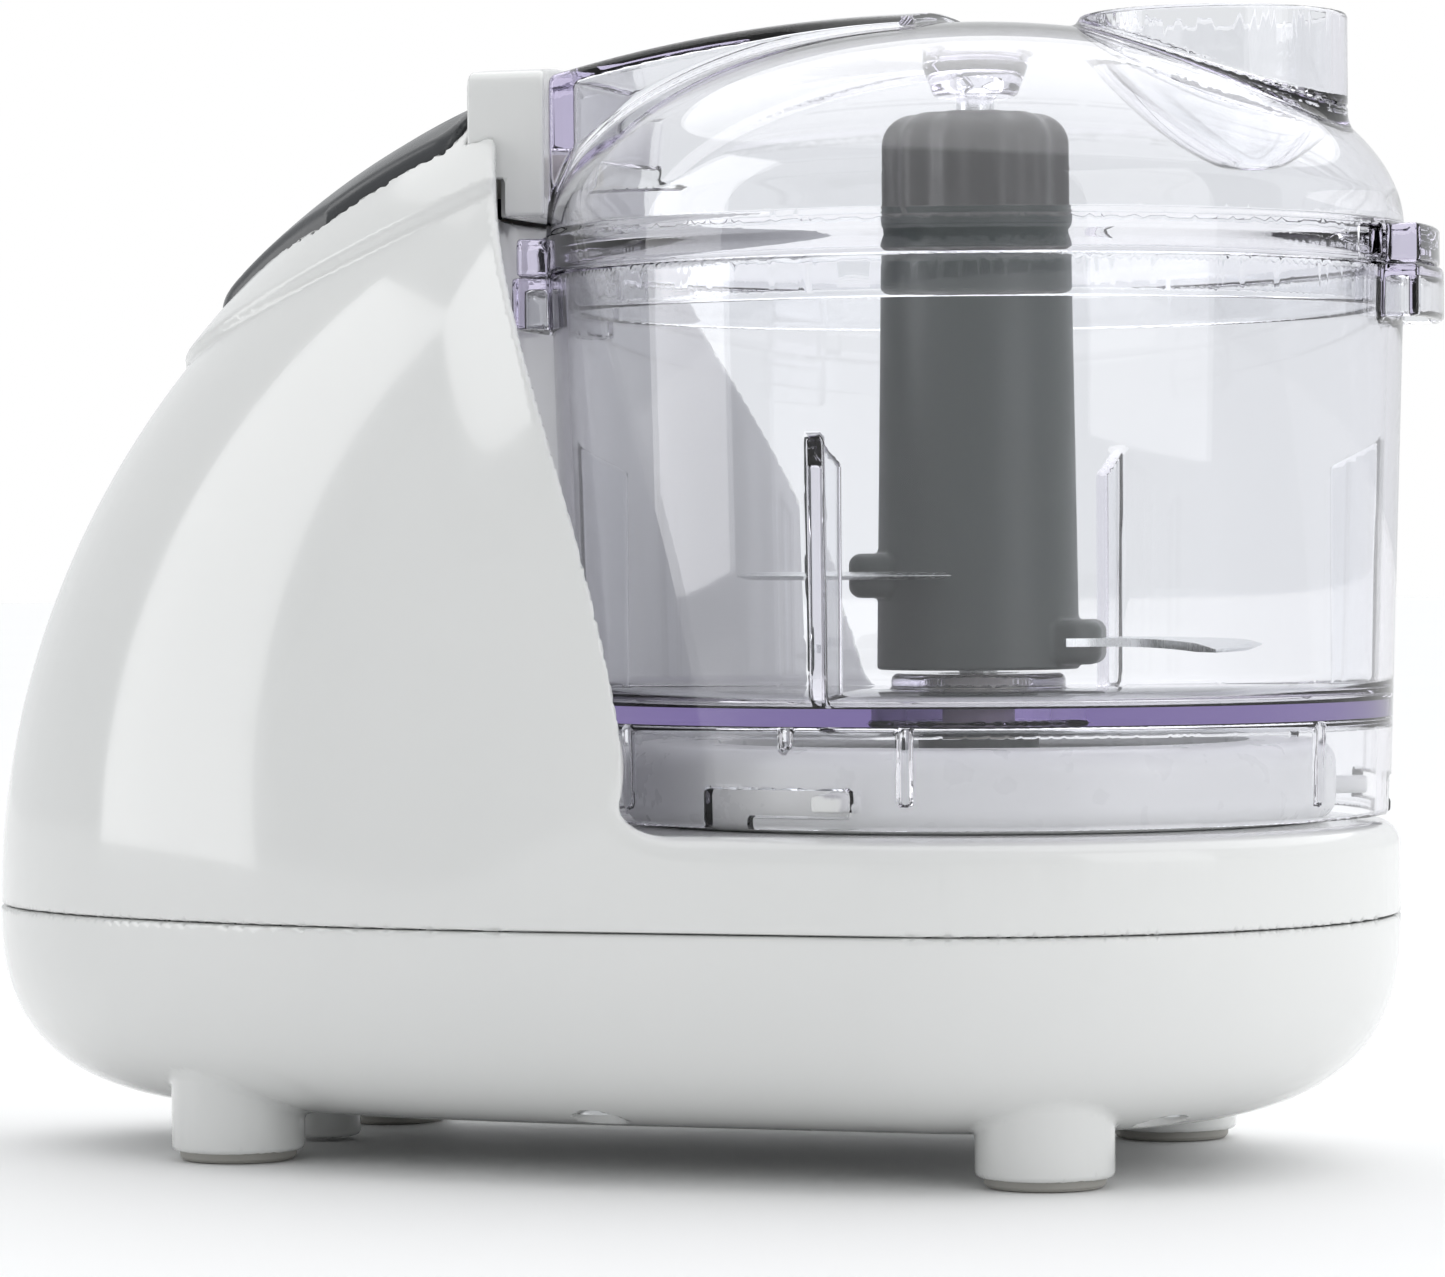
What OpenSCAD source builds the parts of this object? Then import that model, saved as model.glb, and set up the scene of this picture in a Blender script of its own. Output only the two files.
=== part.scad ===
// Side-by-side mini chopper (small food processor).
// A clear bowl with a domed lid stands on one end of a white body, and a tower on the other end
// holds the motor and the pulse button. A belt under the deck drives the blade spindle.
// Frame: +X from the tower to the bowl, +Z up, origin on the table under the middle of the whole.

/* [Body] */
// Half the width of the body
body_half = 62; // [55:0.5:70]
// Radius of the body's end round the bowl
front_r = 62.5; // [60:0.5:66]
// Length of the rounded rear of the body
rear_len = 117; // [110:1:124]
// Straight run of the body's sides behind the bowl axis
side_run = 40; // [34:1:46]
// Height of the joint between the tub and the upper casing
parting_z = 36.8; // [34:0.2:40]
// Height of the deck that carries the bowl
deck_z = 50.5; // [49.5:0.1:50.5]
// Height of the tub's underside
tub_z = 6.3; // [5.5:0.1:7]
// Height above the parting at which the tower would close to a point
tower_rise = 130; // [128:0.5:132]
// Wall thickness of the white mouldings
shell_t = 2.4; // [2:0.1:3]

/* [Feet] */
// Radius of a foot boss
foot_r = 10; // [9:0.5:11]
// Radius of a rubber pad
pad_r = 8.75; // [8:0.25:9]
// Height that a pad lifts the body
pad_h = 1.5; // [1:0.1:2]

/* [Bowl] */
// Outer radius of the bowl at its rim
rim_r = 63.4; // [63:0.1:64]
// Outer radius of the bowl's skirt
skirt_r = 61; // [60.6:0.1:61.4]
// Wall thickness of the clear mouldings
clear_t = 2.2; // [1.8:0.1:2.4]
// Height of the joint between the bowl and the lid
rim_z = 131.8; // [131:0.1:132]
// Height of the bowl floor's upper face
bowl_floor_z = 68.5; // [68:0.1:69]
// Radius to the outside of the locking lugs
lug_r = 69.2; // [68:0.1:69.4]
// Direction of the middle of the locking lugs, in degrees from +X
lug_at = 6; // [4:1:8]
// Angle covered by a locking lug
lug_span = 27; // [20:1:30]

/* [Lid] */
// Height of the dome above the top of the lid's rim
dome_h = 31; // [28:0.5:32]
// Height of the lid's rim
lid_rim_h = 6.1; // [5:0.1:7]
// Half the width of the locking arm on the lid
arm_half = 20; // [17:0.5:21]
// Radius to the end face of the locking arm
arm_end_r = 63.6; // [63:0.1:63.8]
// Outer radius of the feed chute
chute_r = 19.75; // [18:0.25:20]
// Distance of the feed chute from the bowl axis
chute_at = 36.3; // [35:0.1:38]
// Height of the feed chute's mouth
chute_z = 171; // [170:0.5:172]

/* [Blades] */
// Radius of the steel spindle
spindle_r = 2.85; // [2.5:0.05:3]
// Radius of the blade hub at its foot
hub_r = 14.8; // [14:0.1:15.5]
// Height of the hub's foot
hub_z = 73; // [72.8:0.1:74]
// Height of the hub's top
hub_top_z = 156.5; // [155:0.5:157]
// Height of the upper blade
upper_blade_z = 87; // [84:0.5:90]
// Height of the lower blade
lower_blade_z = 77; // [76.5:0.5:79]
// How far the upper blade's curved edge is drawn out
upper_bow = 52; // [48:0.5:58]
// How far the lower blade's curved edge is drawn out
lower_bow = 60; // [54:0.5:64]

/* [Drive] */
// Distance of the motor axis from the bowl axis
motor_at = 98; // [97:0.5:99]
// Height of the belt's middle
belt_z = 29; // [28:0.5:30]
// Width of the belt
belt_w = 6; // [5:0.5:7]
// Radius of the pulley on the blade drive
big_pulley_r = 30; // [26:0.5:32]
// Radius of the pulley on the motor
small_pulley_r = 7.5; // [7:0.5:8]
// Radius of the motor and drive shafts
shaft_r = 4; // [3.5:0.1:4.2]

/* [Controls] */
// Half the width of the pulse button
button_half = 20.5; // [20:0.1:21]
// How far the button stands proud of the tower
button_rise = 2; // [1.5:0.1:2.2]

/* [Hidden] */
$fn = 96;
run_gap = 0.05;                       // radial clearance of a running fit
rear_reach = side_run + rear_len;     // bowl axis to the rear end of the body
lug_tip = lug_r * cos(max(0, lug_at - lug_span / 2));
bowl_x = (rear_reach - lug_tip) / 2;  // puts the origin under the middle of the whole length
seat_r = skirt_r - clear_t - 5.8;     // outside of the ring that the skirt drops over
seat_h = 12;                          // height of that ring above the deck
skirt_z = deck_z + 1;
boss_r = 13;                          // bowl's centre boss
boss_z = hub_z - 0.6;
dome_z = rim_z + lid_rim_h;
upper_turn = 198.5;                   // directions of the blades from +X
lower_turn = 18.5;
dog_r = 9;
dog_z = deck_z + 7.5;                 // faces of the two halves of the drive coupling meet here
spine_power = 1.85;                   // fullness of the tower's side profile
tub_round = 40;                       // how far the tub's lower edge is rounded in
tower_steps = [0, 13, 28, 43, 58, 71, 83, 94, 104, 112, 118, 122, 125];
foot_places = [[20, 37], [20, -37], [-107, 31], [-107, -31]];
// Where the casing screws stand, and the direction and length of the rib that ties each boss to the wall
screw_places = [[34, 26, 37, 18], [34, -26, -37, 18], [-45, 43, 90, 17.8], [-45, -43, -90, 17.8],
    [-136, 0, 180, 19.6]];
collar_r = arm_end_r + 0.8;           // front face of the collar, concentric with the bowl
collar_back = -73.5;
collar_low = 141;
collar_high = 162;
plunger_z = 148;
plunger_tip = arm_end_r - 1.4;         // reach of the plunger into the arm's cam slot
plunger_back = 78.4;                  // and of its head, away from the bowl
plunger_r = 3;
hinge_x = -112.5;                     // pulse button's pivot, from the bowl axis
pivot_half = 9;                       // half the length of the button's pivot barrel
lug_ring_r = 2.8;                     // outside of the rings that hold the pin's ends
button_x = -118;                      // rear end of the button
button_front = -75.6;
button_narrow = button_half - 8.5;    // half its width at the rear end
button_wall = 2;
slice_t = 0.02;                       // thickness of the slices that outlines are stacked from
pin_r = 1.5;
stub_x = -106;                        // small stub on the centreline between the rear feet
gland_z = 27.5;
spring_x = -88;                       // button spring, beside the switches
spring_y = 8.8;
spring_top = 148.2;
frame_z = 121.5;                      // switch frame's lower shelf
shelf_z = 136.5;                      // top of its upper shelf
seat_pins = [-95, 25, 145];           // directions of the bayonet pins on the seat
bowl_turn = 15;                       // angle that the bowl turns to unlock
chassis_z = 42;
low_bracket_z = 52;
stator_z = 60;
stator_h = 26;
brush_z = stator_z + stator_h + 7;
high_bracket_z = brush_z + 11;
armature_r = 15;

// ---- outline functions -------------------------------------------------------------------

// One rounded body outline, at a rear length, half width and front length, about the bowl axis.
// The rear is an ellipse at power 2 and boxier above that.
function outline(rear, half, front, power = 2, n = 16) = concat(
    [for (i = [0:n]) let (t = -90 + 180 * i / n) [front * cos(t), half * sin(t)]],
    [for (i = [0:n]) let (t = 90 + 180 * i / n)
        [-side_run + rear * bulge(cos(t), power), half * bulge(sin(t), power)]]);
function bulge(x, power) = sign(x) * pow(abs(x), 2 / power);

// How full the tower still is, from 1 at the parting to 0 where it would close.
function taper(up, power) = pow(max(0, 1 - pow(up / tower_rise, power)), 1 / power);
function tower_rear(up) = rear_len * taper(up, spine_power);
function tower_half(up) = body_half * taper(up, 1.75);
function tower_power(up) = 2 + 0.7 * up / tower_rise;

// Height of the tower's spine at a distance from the bowl axis.
function spine_z(x) = parting_z
    + tower_rise * pow(max(0, 1 - pow((-side_run - x) / rear_len, spine_power)), 1 / spine_power);

// How far the tub is drawn in at a height, as a fraction of its depth below the parting.
function tub_inset(depth) = tub_round * (1 - pow(1 - pow(depth, 2.65), 1 / 2.65));

// Points along a curve with three control points.
function curve(a, b, c, n = 12) =
    [for (i = [0:n]) let (t = i / n) (1 - t) * (1 - t) * a + 2 * t * (1 - t) * b + t * t * c];

// Outer radius of the bowl's wall at a height.
function bowl_r(z) = skirt_r + (rim_r - skirt_r) * (z - skirt_z) / (rim_z - skirt_z);

// ---- shared shapes -----------------------------------------------------------------------

module at_bowl() { translate([bowl_x, 0, 0]) children(); }
module at_motor() { translate([bowl_x - motor_at, 0, 0]) children(); }

module tube(r_out, r_in, z0, z1) {
    translate([0, 0, z0]) difference() {
        cylinder(r = r_out, h = z1 - z0);
        translate([0, 0, -1]) cylinder(r = r_in, h = z1 - z0 + 2);
    }
}

module disc(r, z0, z1) { translate([0, 0, z0]) cylinder(r = r, h = z1 - z0); }

// A thin slice of an outline at a height.
module slice(points, z) { translate([0, 0, z]) linear_extrude(slice_t) polygon(points); }

// A side profile in X and Z, centred on Y.
module side_plate(points, half) {
    translate([0, half, 0]) rotate([90, 0, 0]) linear_extrude(2 * half) polygon(points);
}

// A sector of a ring.
module ring_sector(r_in, r_out, z0, z1, middle, span) {
    rotate([0, 0, middle - span / 2]) rotate_extrude(angle = span)
        translate([r_in, z0]) square([r_out - r_in, z1 - z0]);
}

// The tower, drawn in by a wall thickness.
module tower_solid(inset) {
    for (i = [0:len(tower_steps) - 2]) hull() for (k = [i, i + 1]) {
        up = tower_steps[k];
        slice(outline(tower_rear(up) - inset, max(0.5, tower_half(up) - inset), 0.1, tower_power(up)),
            parting_z + up - (k == len(tower_steps) - 1 ? inset : 0));
    }
}

// The deck round the bowl, with its rounded upper edge: nested blocks, each drawn in and taller.
module deck_solid(inset) {
    hull() for (e = [[4, 0], [1.2, 1.2], [0, 4]])
        translate([0, 0, parting_z]) linear_extrude(deck_z - inset - e[0] - parting_z)
            polygon(outline(rear_len - inset - e[1], body_half - inset - e[1],
                front_r - inset - e[1], 2, 24));
}

// The space that the bowl and its lugs turn in, cut out of the tower's front.
module bowl_space(gap) {
    translate([0, 0, deck_z + gap]) cylinder(r1 = 69.7 + gap, r2 = 71.9 + gap, h = 120);
}

// The tub's solid, drawn in by a wall thickness.
module tub_solid(inset) {
    depth = parting_z - tub_z;
    steps = [0, 0.3, 0.5, 0.65, 0.77, 0.87, 0.94, 0.985, 1];
    for (i = [0:len(steps) - 2]) hull() for (k = [i, i + 1]) {
        d = inset + tub_inset(steps[k]);
        slice(outline(rear_len - d, body_half - d, front_r - d),
            parting_z - steps[k] * (depth - inset) - slice_t);
    }
}

// ---- body mouldings ----------------------------------------------------------------------

module base_tub() {
    color("white") at_bowl() difference() {
        union() {
            difference() {
                tub_solid(0);
                translate([0, 0, 0.03]) tub_solid(shell_t);
            }
            for (p = foot_places) translate([p[0], p[1], pad_h]) cylinder(r = foot_r, h = 12, $fn = 40);
            for (p = screw_places) translate([p[0], p[1], tub_z + 3.2])
                cylinder(r = 4.5, h = parting_z - tub_z - 3.4, $fn = 24);
            translate([stub_x, 0, pad_h - 0.9]) cylinder(r1 = 4.6, r2 = 5.75, h = 1.2, $fn = 32);
            translate([stub_x, 0, pad_h + 0.2]) cylinder(r = 5.75, h = 9, $fn = 32);
        }
        for (p = foot_places) translate([p[0], p[1], 0]) cylinder(r = pad_r + 0.1, h = pad_h + 0.8, $fn = 40);
        for (p = screw_places) translate([p[0], p[1], 0]) {
            cylinder(r = 1.8, h = 60, $fn = 24);
            cylinder(r = 3.6, h = tub_z + 6, $fn = 24);
        }
        translate([-rear_reach - 1, 0, gland_z]) rotate([0, 90, 0]) cylinder(r = 6.1, h = 12, $fn = 32);
    }
}

module upper_casing() {
    color("white") at_bowl() difference() {
        union() {
            difference() {
                casing_shell();
                button_plan(0.6, collar_back + 0.1);
                collar_opening();
            }
            for (p = screw_places) translate([p[0], p[1], parting_z + 0.2]) {
                cylinder(r = 4.5, h = deck_z - parting_z - 2, $fn = 24);
                rotate([0, 0, p[2]]) translate([0, -1, 0]) cube([p[3], 2, deck_z - parting_z - 4]);
            }
            pivot_lugs();
        }
        translate([hinge_x, 0, hinge_z()]) rotate([90, 0, 0])
            cylinder(r = pin_r + 0.1, h = 2 * pivot_half + 5.6, center = true, $fn = 24);
        translate([0, 0, deck_z - 8]) cylinder(r = 15, h = 20, $fn = 48);
        for (p = screw_places) translate([p[0], p[1], parting_z - 1]) cylinder(r = 1.3, h = 9, $fn = 16);
    }
}

// Lugs for the button's pin, on arms that reach under its skirts from the tower's walls.
module pivot_lugs() {
    intersection() {
        tower_solid(1);
        for (m = [0, 1]) mirror([0, m, 0]) translate([hinge_x, pivot_half + 0.5, hinge_z()]) {
            rotate([-90, 0, 0]) cylinder(r = lug_ring_r, h = 2.5, $fn = 24);
            translate([-2.4, 0, -3]) cube([4.8, 2.5, 2.6]);
            translate([-3.5, 0, -3.5]) cube([7, 14.5, 3]);
        }
    }
}

// The deck and tower as one hollow shell, open below.
module casing_shell() {
    difference() {
        union() {
            deck_solid(0);
            difference() {
                tower_solid(0);
                bowl_space(0);
            }
        }
        translate([0, 0, -0.1]) deck_solid(shell_t);
        difference() {
            translate([0, 0, -0.1]) tower_solid(shell_t);
            bowl_space(-shell_t);
        }
    }
}

// The button's plan, widest in its middle, grown by a gap.
module button_plan(gap, front) {
    side = [[button_x - gap, button_narrow + gap], [button_x + 22, button_half + gap],
        [front, button_half - 1.5 + gap]];
    translate([0, 0, 100]) linear_extrude(100) polygon(concat(side,
        [for (i = [2:-1:0]) [side[i][0], -side[i][1]]]));
}

// The notch in the tower's top that takes the collar.
module collar_opening() {
    translate([collar_back - 0.1, -arm_half - 0.1, collar_low - 0.1]) cube([20, 2 * arm_half + 0.2, 40]);
}

module lid_collar() {
    crown = [for (i = [-10:10]) [i * arm_half / 10, collar_high + 2.2 * cos(i * 7.5)]];
    color("white") at_bowl() difference() {
        translate([collar_back, 0, 0]) rotate([90, 0, 90]) linear_extrude(30)
            polygon(concat([[arm_half, collar_low], [-arm_half, collar_low]], crown));
        translate([0, 0, 100]) cylinder(r = collar_r, h = 100);
        translate([collar_back - 1, -arm_half + 2.2, collar_low - 1])
            cube([5.5, 2 * arm_half - 4.4, collar_high - collar_low - 1]);
        translate([-80, 0, plunger_z]) rotate([0, 90, 0]) cylinder(r = plunger_r + run_gap, h = 30);
    }
}

module foot_pads() {
    color("dimgray") at_bowl() for (p = foot_places) translate([p[0], p[1], 0]) {
        cylinder(r = pad_r, h = pad_h + 0.8);
    }
}

module casing_screws() {
    color("silver") at_bowl() for (p = screw_places) translate([p[0], p[1], 0]) {
        disc(1.25, tub_z + 4, parting_z + 7);
        disc(3.2, tub_z + 3.2, tub_z + 6);
    }
}

// The rubber-like bush in the rear wall that a mains lead would leave through.
module cord_gland() {
    color("gainsboro") at_bowl() translate([-rear_reach, 0, gland_z]) rotate([0, 90, 0]) difference() {
        union() {
            cylinder(r1 = 5.4, r2 = 6, h = 0.6);
            translate([0, 0, 0.6]) cylinder(r = 6, h = 9);
            translate([0, 0, 8]) cylinder(r = 7.5, h = 1.6);
        }
        translate([0, 0, -1]) cylinder(r = 3.3, h = 20);
    }
}

// The locking ring on the deck, with the boss that holds the drive bearing.
module bowl_seat() {
    color("white") at_bowl() {
        difference() {
            union() {
                disc(seat_r, deck_z, deck_z + 2);
                tube(seat_r, seat_r - 2.4, deck_z, deck_z + seat_h);
                tube(seat_r, 40, deck_z + seat_h - 2, deck_z + seat_h);
                disc(14.6, deck_z - 13, deck_z + 1);
                disc(11, deck_z - 13, deck_z + 4);
            }
            disc(7, deck_z - 14, deck_z + 5);
        }
        for (a = seat_pins)
            ring_sector(seat_r - 1, skirt_r - 0.8, deck_z + 3.4, deck_z + 6, a, 5);
    }
}

// ---- motor and drive ---------------------------------------------------------------------

module drive_bearing() {
    color("goldenrod") at_bowl() tube(7, shaft_r + run_gap, deck_z - 13, deck_z + 4);
}

// Where the four motor screws stand, about the motor axis.
module at_motor_screws() {
    for (y = [-31, 31], x = [-18, 18]) translate([x, y, 0]) children();
}

module motor_chassis() {
    color("silver") at_motor() difference() {
        union() {
            translate([-24, -35, chassis_z]) cube([50, 70, 2]);
            at_motor_screws() disc(3.4, chassis_z, low_bracket_z);
        }
        disc(9, chassis_z - 2, chassis_z + 4);
        at_motor_screws() disc(1.6, chassis_z - 2, low_bracket_z + 2);
    }
}

module motor_screws() {
    color("silver") at_motor() at_motor_screws() {
        disc(1.5, chassis_z - 1, low_bracket_z + 5);
        disc(3, chassis_z - 2.6, chassis_z);
    }
}

// A plate across one end of the motor, with a boss that holds a shaft bush.
module bracket(half_x, half_y, z, boss_low, boss_high) {
    difference() {
        union() {
            translate([-half_x, -half_y, z]) cube([2 * half_x, 2 * half_y, 3]);
            disc(8, boss_low, boss_high);
        }
        disc(5.5, boss_low - 1, boss_high + 1);
    }
}

module lower_bracket() {
    color("dimgray") at_motor() difference() {
        bracket(22, 35, low_bracket_z, low_bracket_z - 1, low_bracket_z + 6);
        at_motor_screws() disc(1.55, low_bracket_z - 1, low_bracket_z + 4);
    }
}

module upper_bracket() {
    stator_top = stator_z + stator_h;
    color("dimgray") at_motor() {
        bracket(12, 27, high_bracket_z, high_bracket_z, high_bracket_z + 6);
        for (y = [-27, 24]) translate([-6, y, stator_top]) cube([12, 3, high_bracket_z - stator_top + 1]);
    }
}

module motor_bushes() {
    color("goldenrod") at_motor() {
        tube(5.5, shaft_r - 1 + run_gap, low_bracket_z - 1, low_bracket_z + 6);
        tube(5.5, shaft_r - 1 + run_gap, high_bracket_z, high_bracket_z + 6);
    }
}

module stator_core() {
    color("slategray") at_motor() translate([0, 0, stator_z]) difference() {
        intersection() {
            translate([-26, -32, 0]) cube([52, 64, stator_h]);
            cylinder(r = 36, h = stator_h);
        }
        translate([0, 0, -1]) cylinder(r = armature_r + 0.6, h = stator_h + 2);
        for (s = [-1, 1]) translate([s * 18.7 - 3, -17, -1]) cube([6, 34, stator_h + 2]);
    }
}

module field_coils() {
    color("peru") at_motor() for (s = [-1, 1]) translate([s * 18.7, 0, stator_z - 4]) difference() {
        translate([-2.8, -16, 0]) cube([5.6, 32, stator_h + 8]);
        translate([-4, -11, 3.9]) cube([8, 22, stator_h + 0.2]);
    }
}

module brush_holders() {
    color("goldenrod") at_motor() for (s = [0, 180]) rotate([0, 0, s]) difference() {
        translate([10.5, -4, brush_z]) cube([15, 8, 8]);
        translate([9, -2.6, brush_z + 1.4]) cube([18, 5.2, 5.2]);
    }
}

module carbon_brushes() {
    color("black") at_motor() for (s = [0, 180]) rotate([0, 0, s])
        translate([9.3, -2.5, brush_z + 1.5]) cube([13, 5, 5]);
}

module suppressor_capacitor() {
    color("gold") at_bowl() translate([-63, -9, parting_z - 14]) cube([8, 18, 12]);
}

// The stretched loop of the belt, standing just clear of both pulleys.
module belt_loop(extra) {
    hull() {
        circle(r = big_pulley_r + extra);
        translate([-motor_at, 0]) circle(r = small_pulley_r + extra);
    }
}

module drive_belt() {
    color("black") at_bowl() translate([0, 0, belt_z - belt_w / 2]) linear_extrude(belt_w)
        difference() {
            belt_loop(1.9, $fn = 72);
            belt_loop(0.4, $fn = 72);
        }
}

module pulley(r, hub_radius, bore) {
    difference() {
        union() {
            tube(r, max(bore, r - 3), belt_z - belt_w / 2 - 1, belt_z + belt_w / 2 + 1);
            tube(r + 2.6, max(bore, r - 3), belt_z - belt_w / 2 - 2, belt_z - belt_w / 2 - 0.8);
            tube(r + 2.6, max(bore, r - 3), belt_z + belt_w / 2 + 0.8, belt_z + belt_w / 2 + 2);
            disc(r - 1, belt_z - 1.2, belt_z + 1.2);
            disc(hub_radius, belt_z - 5.5, belt_z + 7);
        }
        disc(bore, 0, 80);
    }
}

module drive_pulley() {
    color("ivory") at_bowl() difference() {
        pulley(big_pulley_r, 7.5, shaft_r);
        for (a = [0:60:300]) rotate([0, 0, a]) translate([17.5, 0, 20]) cylinder(r = 5, h = 20);
    }
}

module motor_pulley() { color("ivory") at_motor() pulley(small_pulley_r, 6, shaft_r - 1); }

module drive_shaft() { color("silver") at_bowl() disc(shaft_r, belt_z - 7, dog_z - 1.5); }

module rotor_shaft() { color("silver") at_motor() disc(shaft_r - 1, belt_z - 7, high_bracket_z + 8); }

module armature_core() {
    color("slategray") at_motor() difference() {
        disc(armature_r, stator_z, stator_z + stator_h);
        disc(shaft_r - 1, 0, 200);
        for (a = [0:30:330]) rotate([0, 0, a]) translate([armature_r - 4, -0.9, 0]) cube([6, 1.8, 200]);
    }
}

module armature_windings() {
    color("peru") at_motor() {
        tube(12.6, shaft_r - 1, stator_z - 1.5, stator_z);
        tube(12.6, shaft_r - 1, stator_z + stator_h, stator_z + stator_h + 5);
    }
}

module commutator() { color("sienna") at_motor() tube(9, shaft_r - 1, brush_z - 1.5, brush_z + 9); }

module cooling_fan() {
    color("ivory") at_motor() {
        tube(6.5, shaft_r - 1, chassis_z + 2.8, chassis_z + 6);
        tube(20, 6, chassis_z + 2.8, chassis_z + 4);
        for (a = [0:40:320]) rotate([0, 0, a]) translate([8, -0.6, chassis_z + 3.6]) cube([11.4, 1.2, 4.4]);
    }
}

// The half of the coupling on the base, with four teeth.
module drive_dog() {
    color("dimgray") at_bowl() {
        difference() {
            disc(dog_r, dog_z - 3, dog_z);
            disc(shaft_r, dog_z - 4, dog_z - 1.5);
        }
        for (a = [0:90:270]) ring_sector(4.6, dog_r - 0.6, dog_z - 0.2, dog_z + 2.4, a, 40);
    }
}

// The half of the coupling under the bowl, pinned to the spindle.
module driven_dog() {
    color("dimgray") at_bowl() difference() {
        union() {
            disc(dog_r, dog_z + 2.6, dog_z + 5.6);
            for (a = [45:90:315]) ring_sector(4.6, dog_r - 0.6, dog_z + 0.2, dog_z + 2.8, a, 40);
        }
        disc(spindle_r, dog_z - 2, dog_z + 10);
    }
}

// ---- controls ----------------------------------------------------------------------------

module pulse_switch() {
    color("black") at_bowl() translate([-102, -5, frame_z + 3]) {
        cube([14, 10, 8]);
        translate([2, 3.5, 8]) cube([3, 3, 1.4]);
    }
}

module interlock_switch() {
    color("black") at_bowl() translate([-94.2, -5, shelf_z]) {
        cube([10, 10, 8]);
        translate([10, 3.5, 4]) cube([1.2, 3, 7]);
    }
}

// The inner frame that both switches and the button spring stand on.
module switch_frame() {
    color("whitesmoke") at_bowl() {
        translate([-104, -8, frame_z]) cube([25, 16, 3]);
        translate([-86, -5.5, frame_z + 2]) cube([3, 11, shelf_z - frame_z - 3]);
        translate([-94.2, -5.5, shelf_z - 2.5]) cube([12.2, 11, 2.5]);
        translate([spring_x - 4, 5, shelf_z - 2.5]) cube([8, 9.5, 2.5]);
    }
}

function hinge_z() = spine_z(hinge_x) - 7;

// Lays a cylinder along Y at the button's pivot.
module on_pivot(r, length) {
    translate([hinge_x, 0, hinge_z()]) rotate([90, 0, 0]) cylinder(r = r, h = length, center = true);
}

module button_pin() { color("silver") at_bowl() on_pivot(pin_r, 2 * pivot_half + 5); }

module button_spring() {
    wire = 0.5;
    coil_r = 3;
    turns = 5;
    low = shelf_z;
    high = spring_top;
    sides = 8;
    per_turn = 12;
    n = turns * per_turn;
    points = [for (i = [0:n], k = [0:sides - 1]) let (a = 360 * i / per_turn, b = 360 * k / sides)
        [(coil_r + wire * cos(b)) * cos(a), (coil_r + wire * cos(b)) * sin(a),
            wire + (high - low - 2 * wire) * i / n + wire * sin(b)]];
    walls = [for (i = [0:n - 1], k = [0:sides - 1]) let (j = (k + 1) % sides)
        [i * sides + k, (i + 1) * sides + k, (i + 1) * sides + j, i * sides + j]];
    ends = [[for (k = [0:sides - 1]) k], [for (k = [sides - 1:-1:0]) n * sides + k]];
    color("silver") at_bowl() translate([spring_x, spring_y, low])
        polyhedron(points, concat(walls, ends));
}

// The button: a shell that follows the tower's surface and stands proud of it, with a barrel
// round its pivot pin, a stem over the switch and a peg on top of its spring.
module pulse_button() {
    stem_z = frame_z + 13.5;
    skirt_low = [[button_x - 1, 125.6], [button_front + 1, 146.7], [button_front + 1, 200],
        [button_x - 1, 200]];
    color("dimgray") at_bowl() difference() {
        union() {
            intersection() {
                difference() {
                    tower_solid(-button_rise);
                    intersection() {
                        tower_solid(button_wall - button_rise);
                        button_plan(-button_wall, button_front - button_wall);
                    }
                }
                button_plan(0, button_front);
                side_plate(skirt_low, button_half + 1);
            }
            on_pivot(3.2, 2 * pivot_half);
            intersection() {
                tower_solid(-1);
                union() {
                    translate([hinge_x - 2, -pivot_half, hinge_z()]) cube([4, 2 * pivot_half, 20]);
                    translate([-100, -1.5, stem_z]) cube([3, 3, 40]);
                    translate([spring_x, spring_y, spring_top + 0.2]) cylinder(r = 3.6, h = 20, $fn = 24);
                }
            }
        }
        on_pivot(pin_r + run_gap, 60);
        // room for the two lugs that hold the pin
        for (m = [0, 1]) mirror([0, m, 0]) translate([hinge_x, pivot_half + 0.2, hinge_z()])
            rotate([-90, 0, 0]) cylinder(r = lug_ring_r + 0.7, h = 12, $fn = 48);
        // room for the plunger behind the front wall
        translate([button_front - button_wall - 1, -5.5, 130]) cube([button_wall + 2, 11, 23.2]);
    }
}

module interlock_plunger() {
    color("ivory") at_bowl() translate([0, 0, plunger_z]) rotate([0, 90, 0]) {
        translate([0, 0, -plunger_back]) cylinder(r = plunger_r, h = plunger_back - plunger_tip);
        translate([0, 0, -plunger_back - 1.4]) cylinder(r = plunger_r + 1, h = 1.6);
    }
}

// ---- blades ------------------------------------------------------------------------------

module blade_spindle() {
    color("silver") at_bowl() {
        disc(spindle_r, dog_z + 0.8, hub_top_z + 3);
        translate([0, 0, hub_top_z + 3]) cylinder(r1 = spindle_r, r2 = spindle_r - 0.9, h = 0.8);
    }
}

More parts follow.
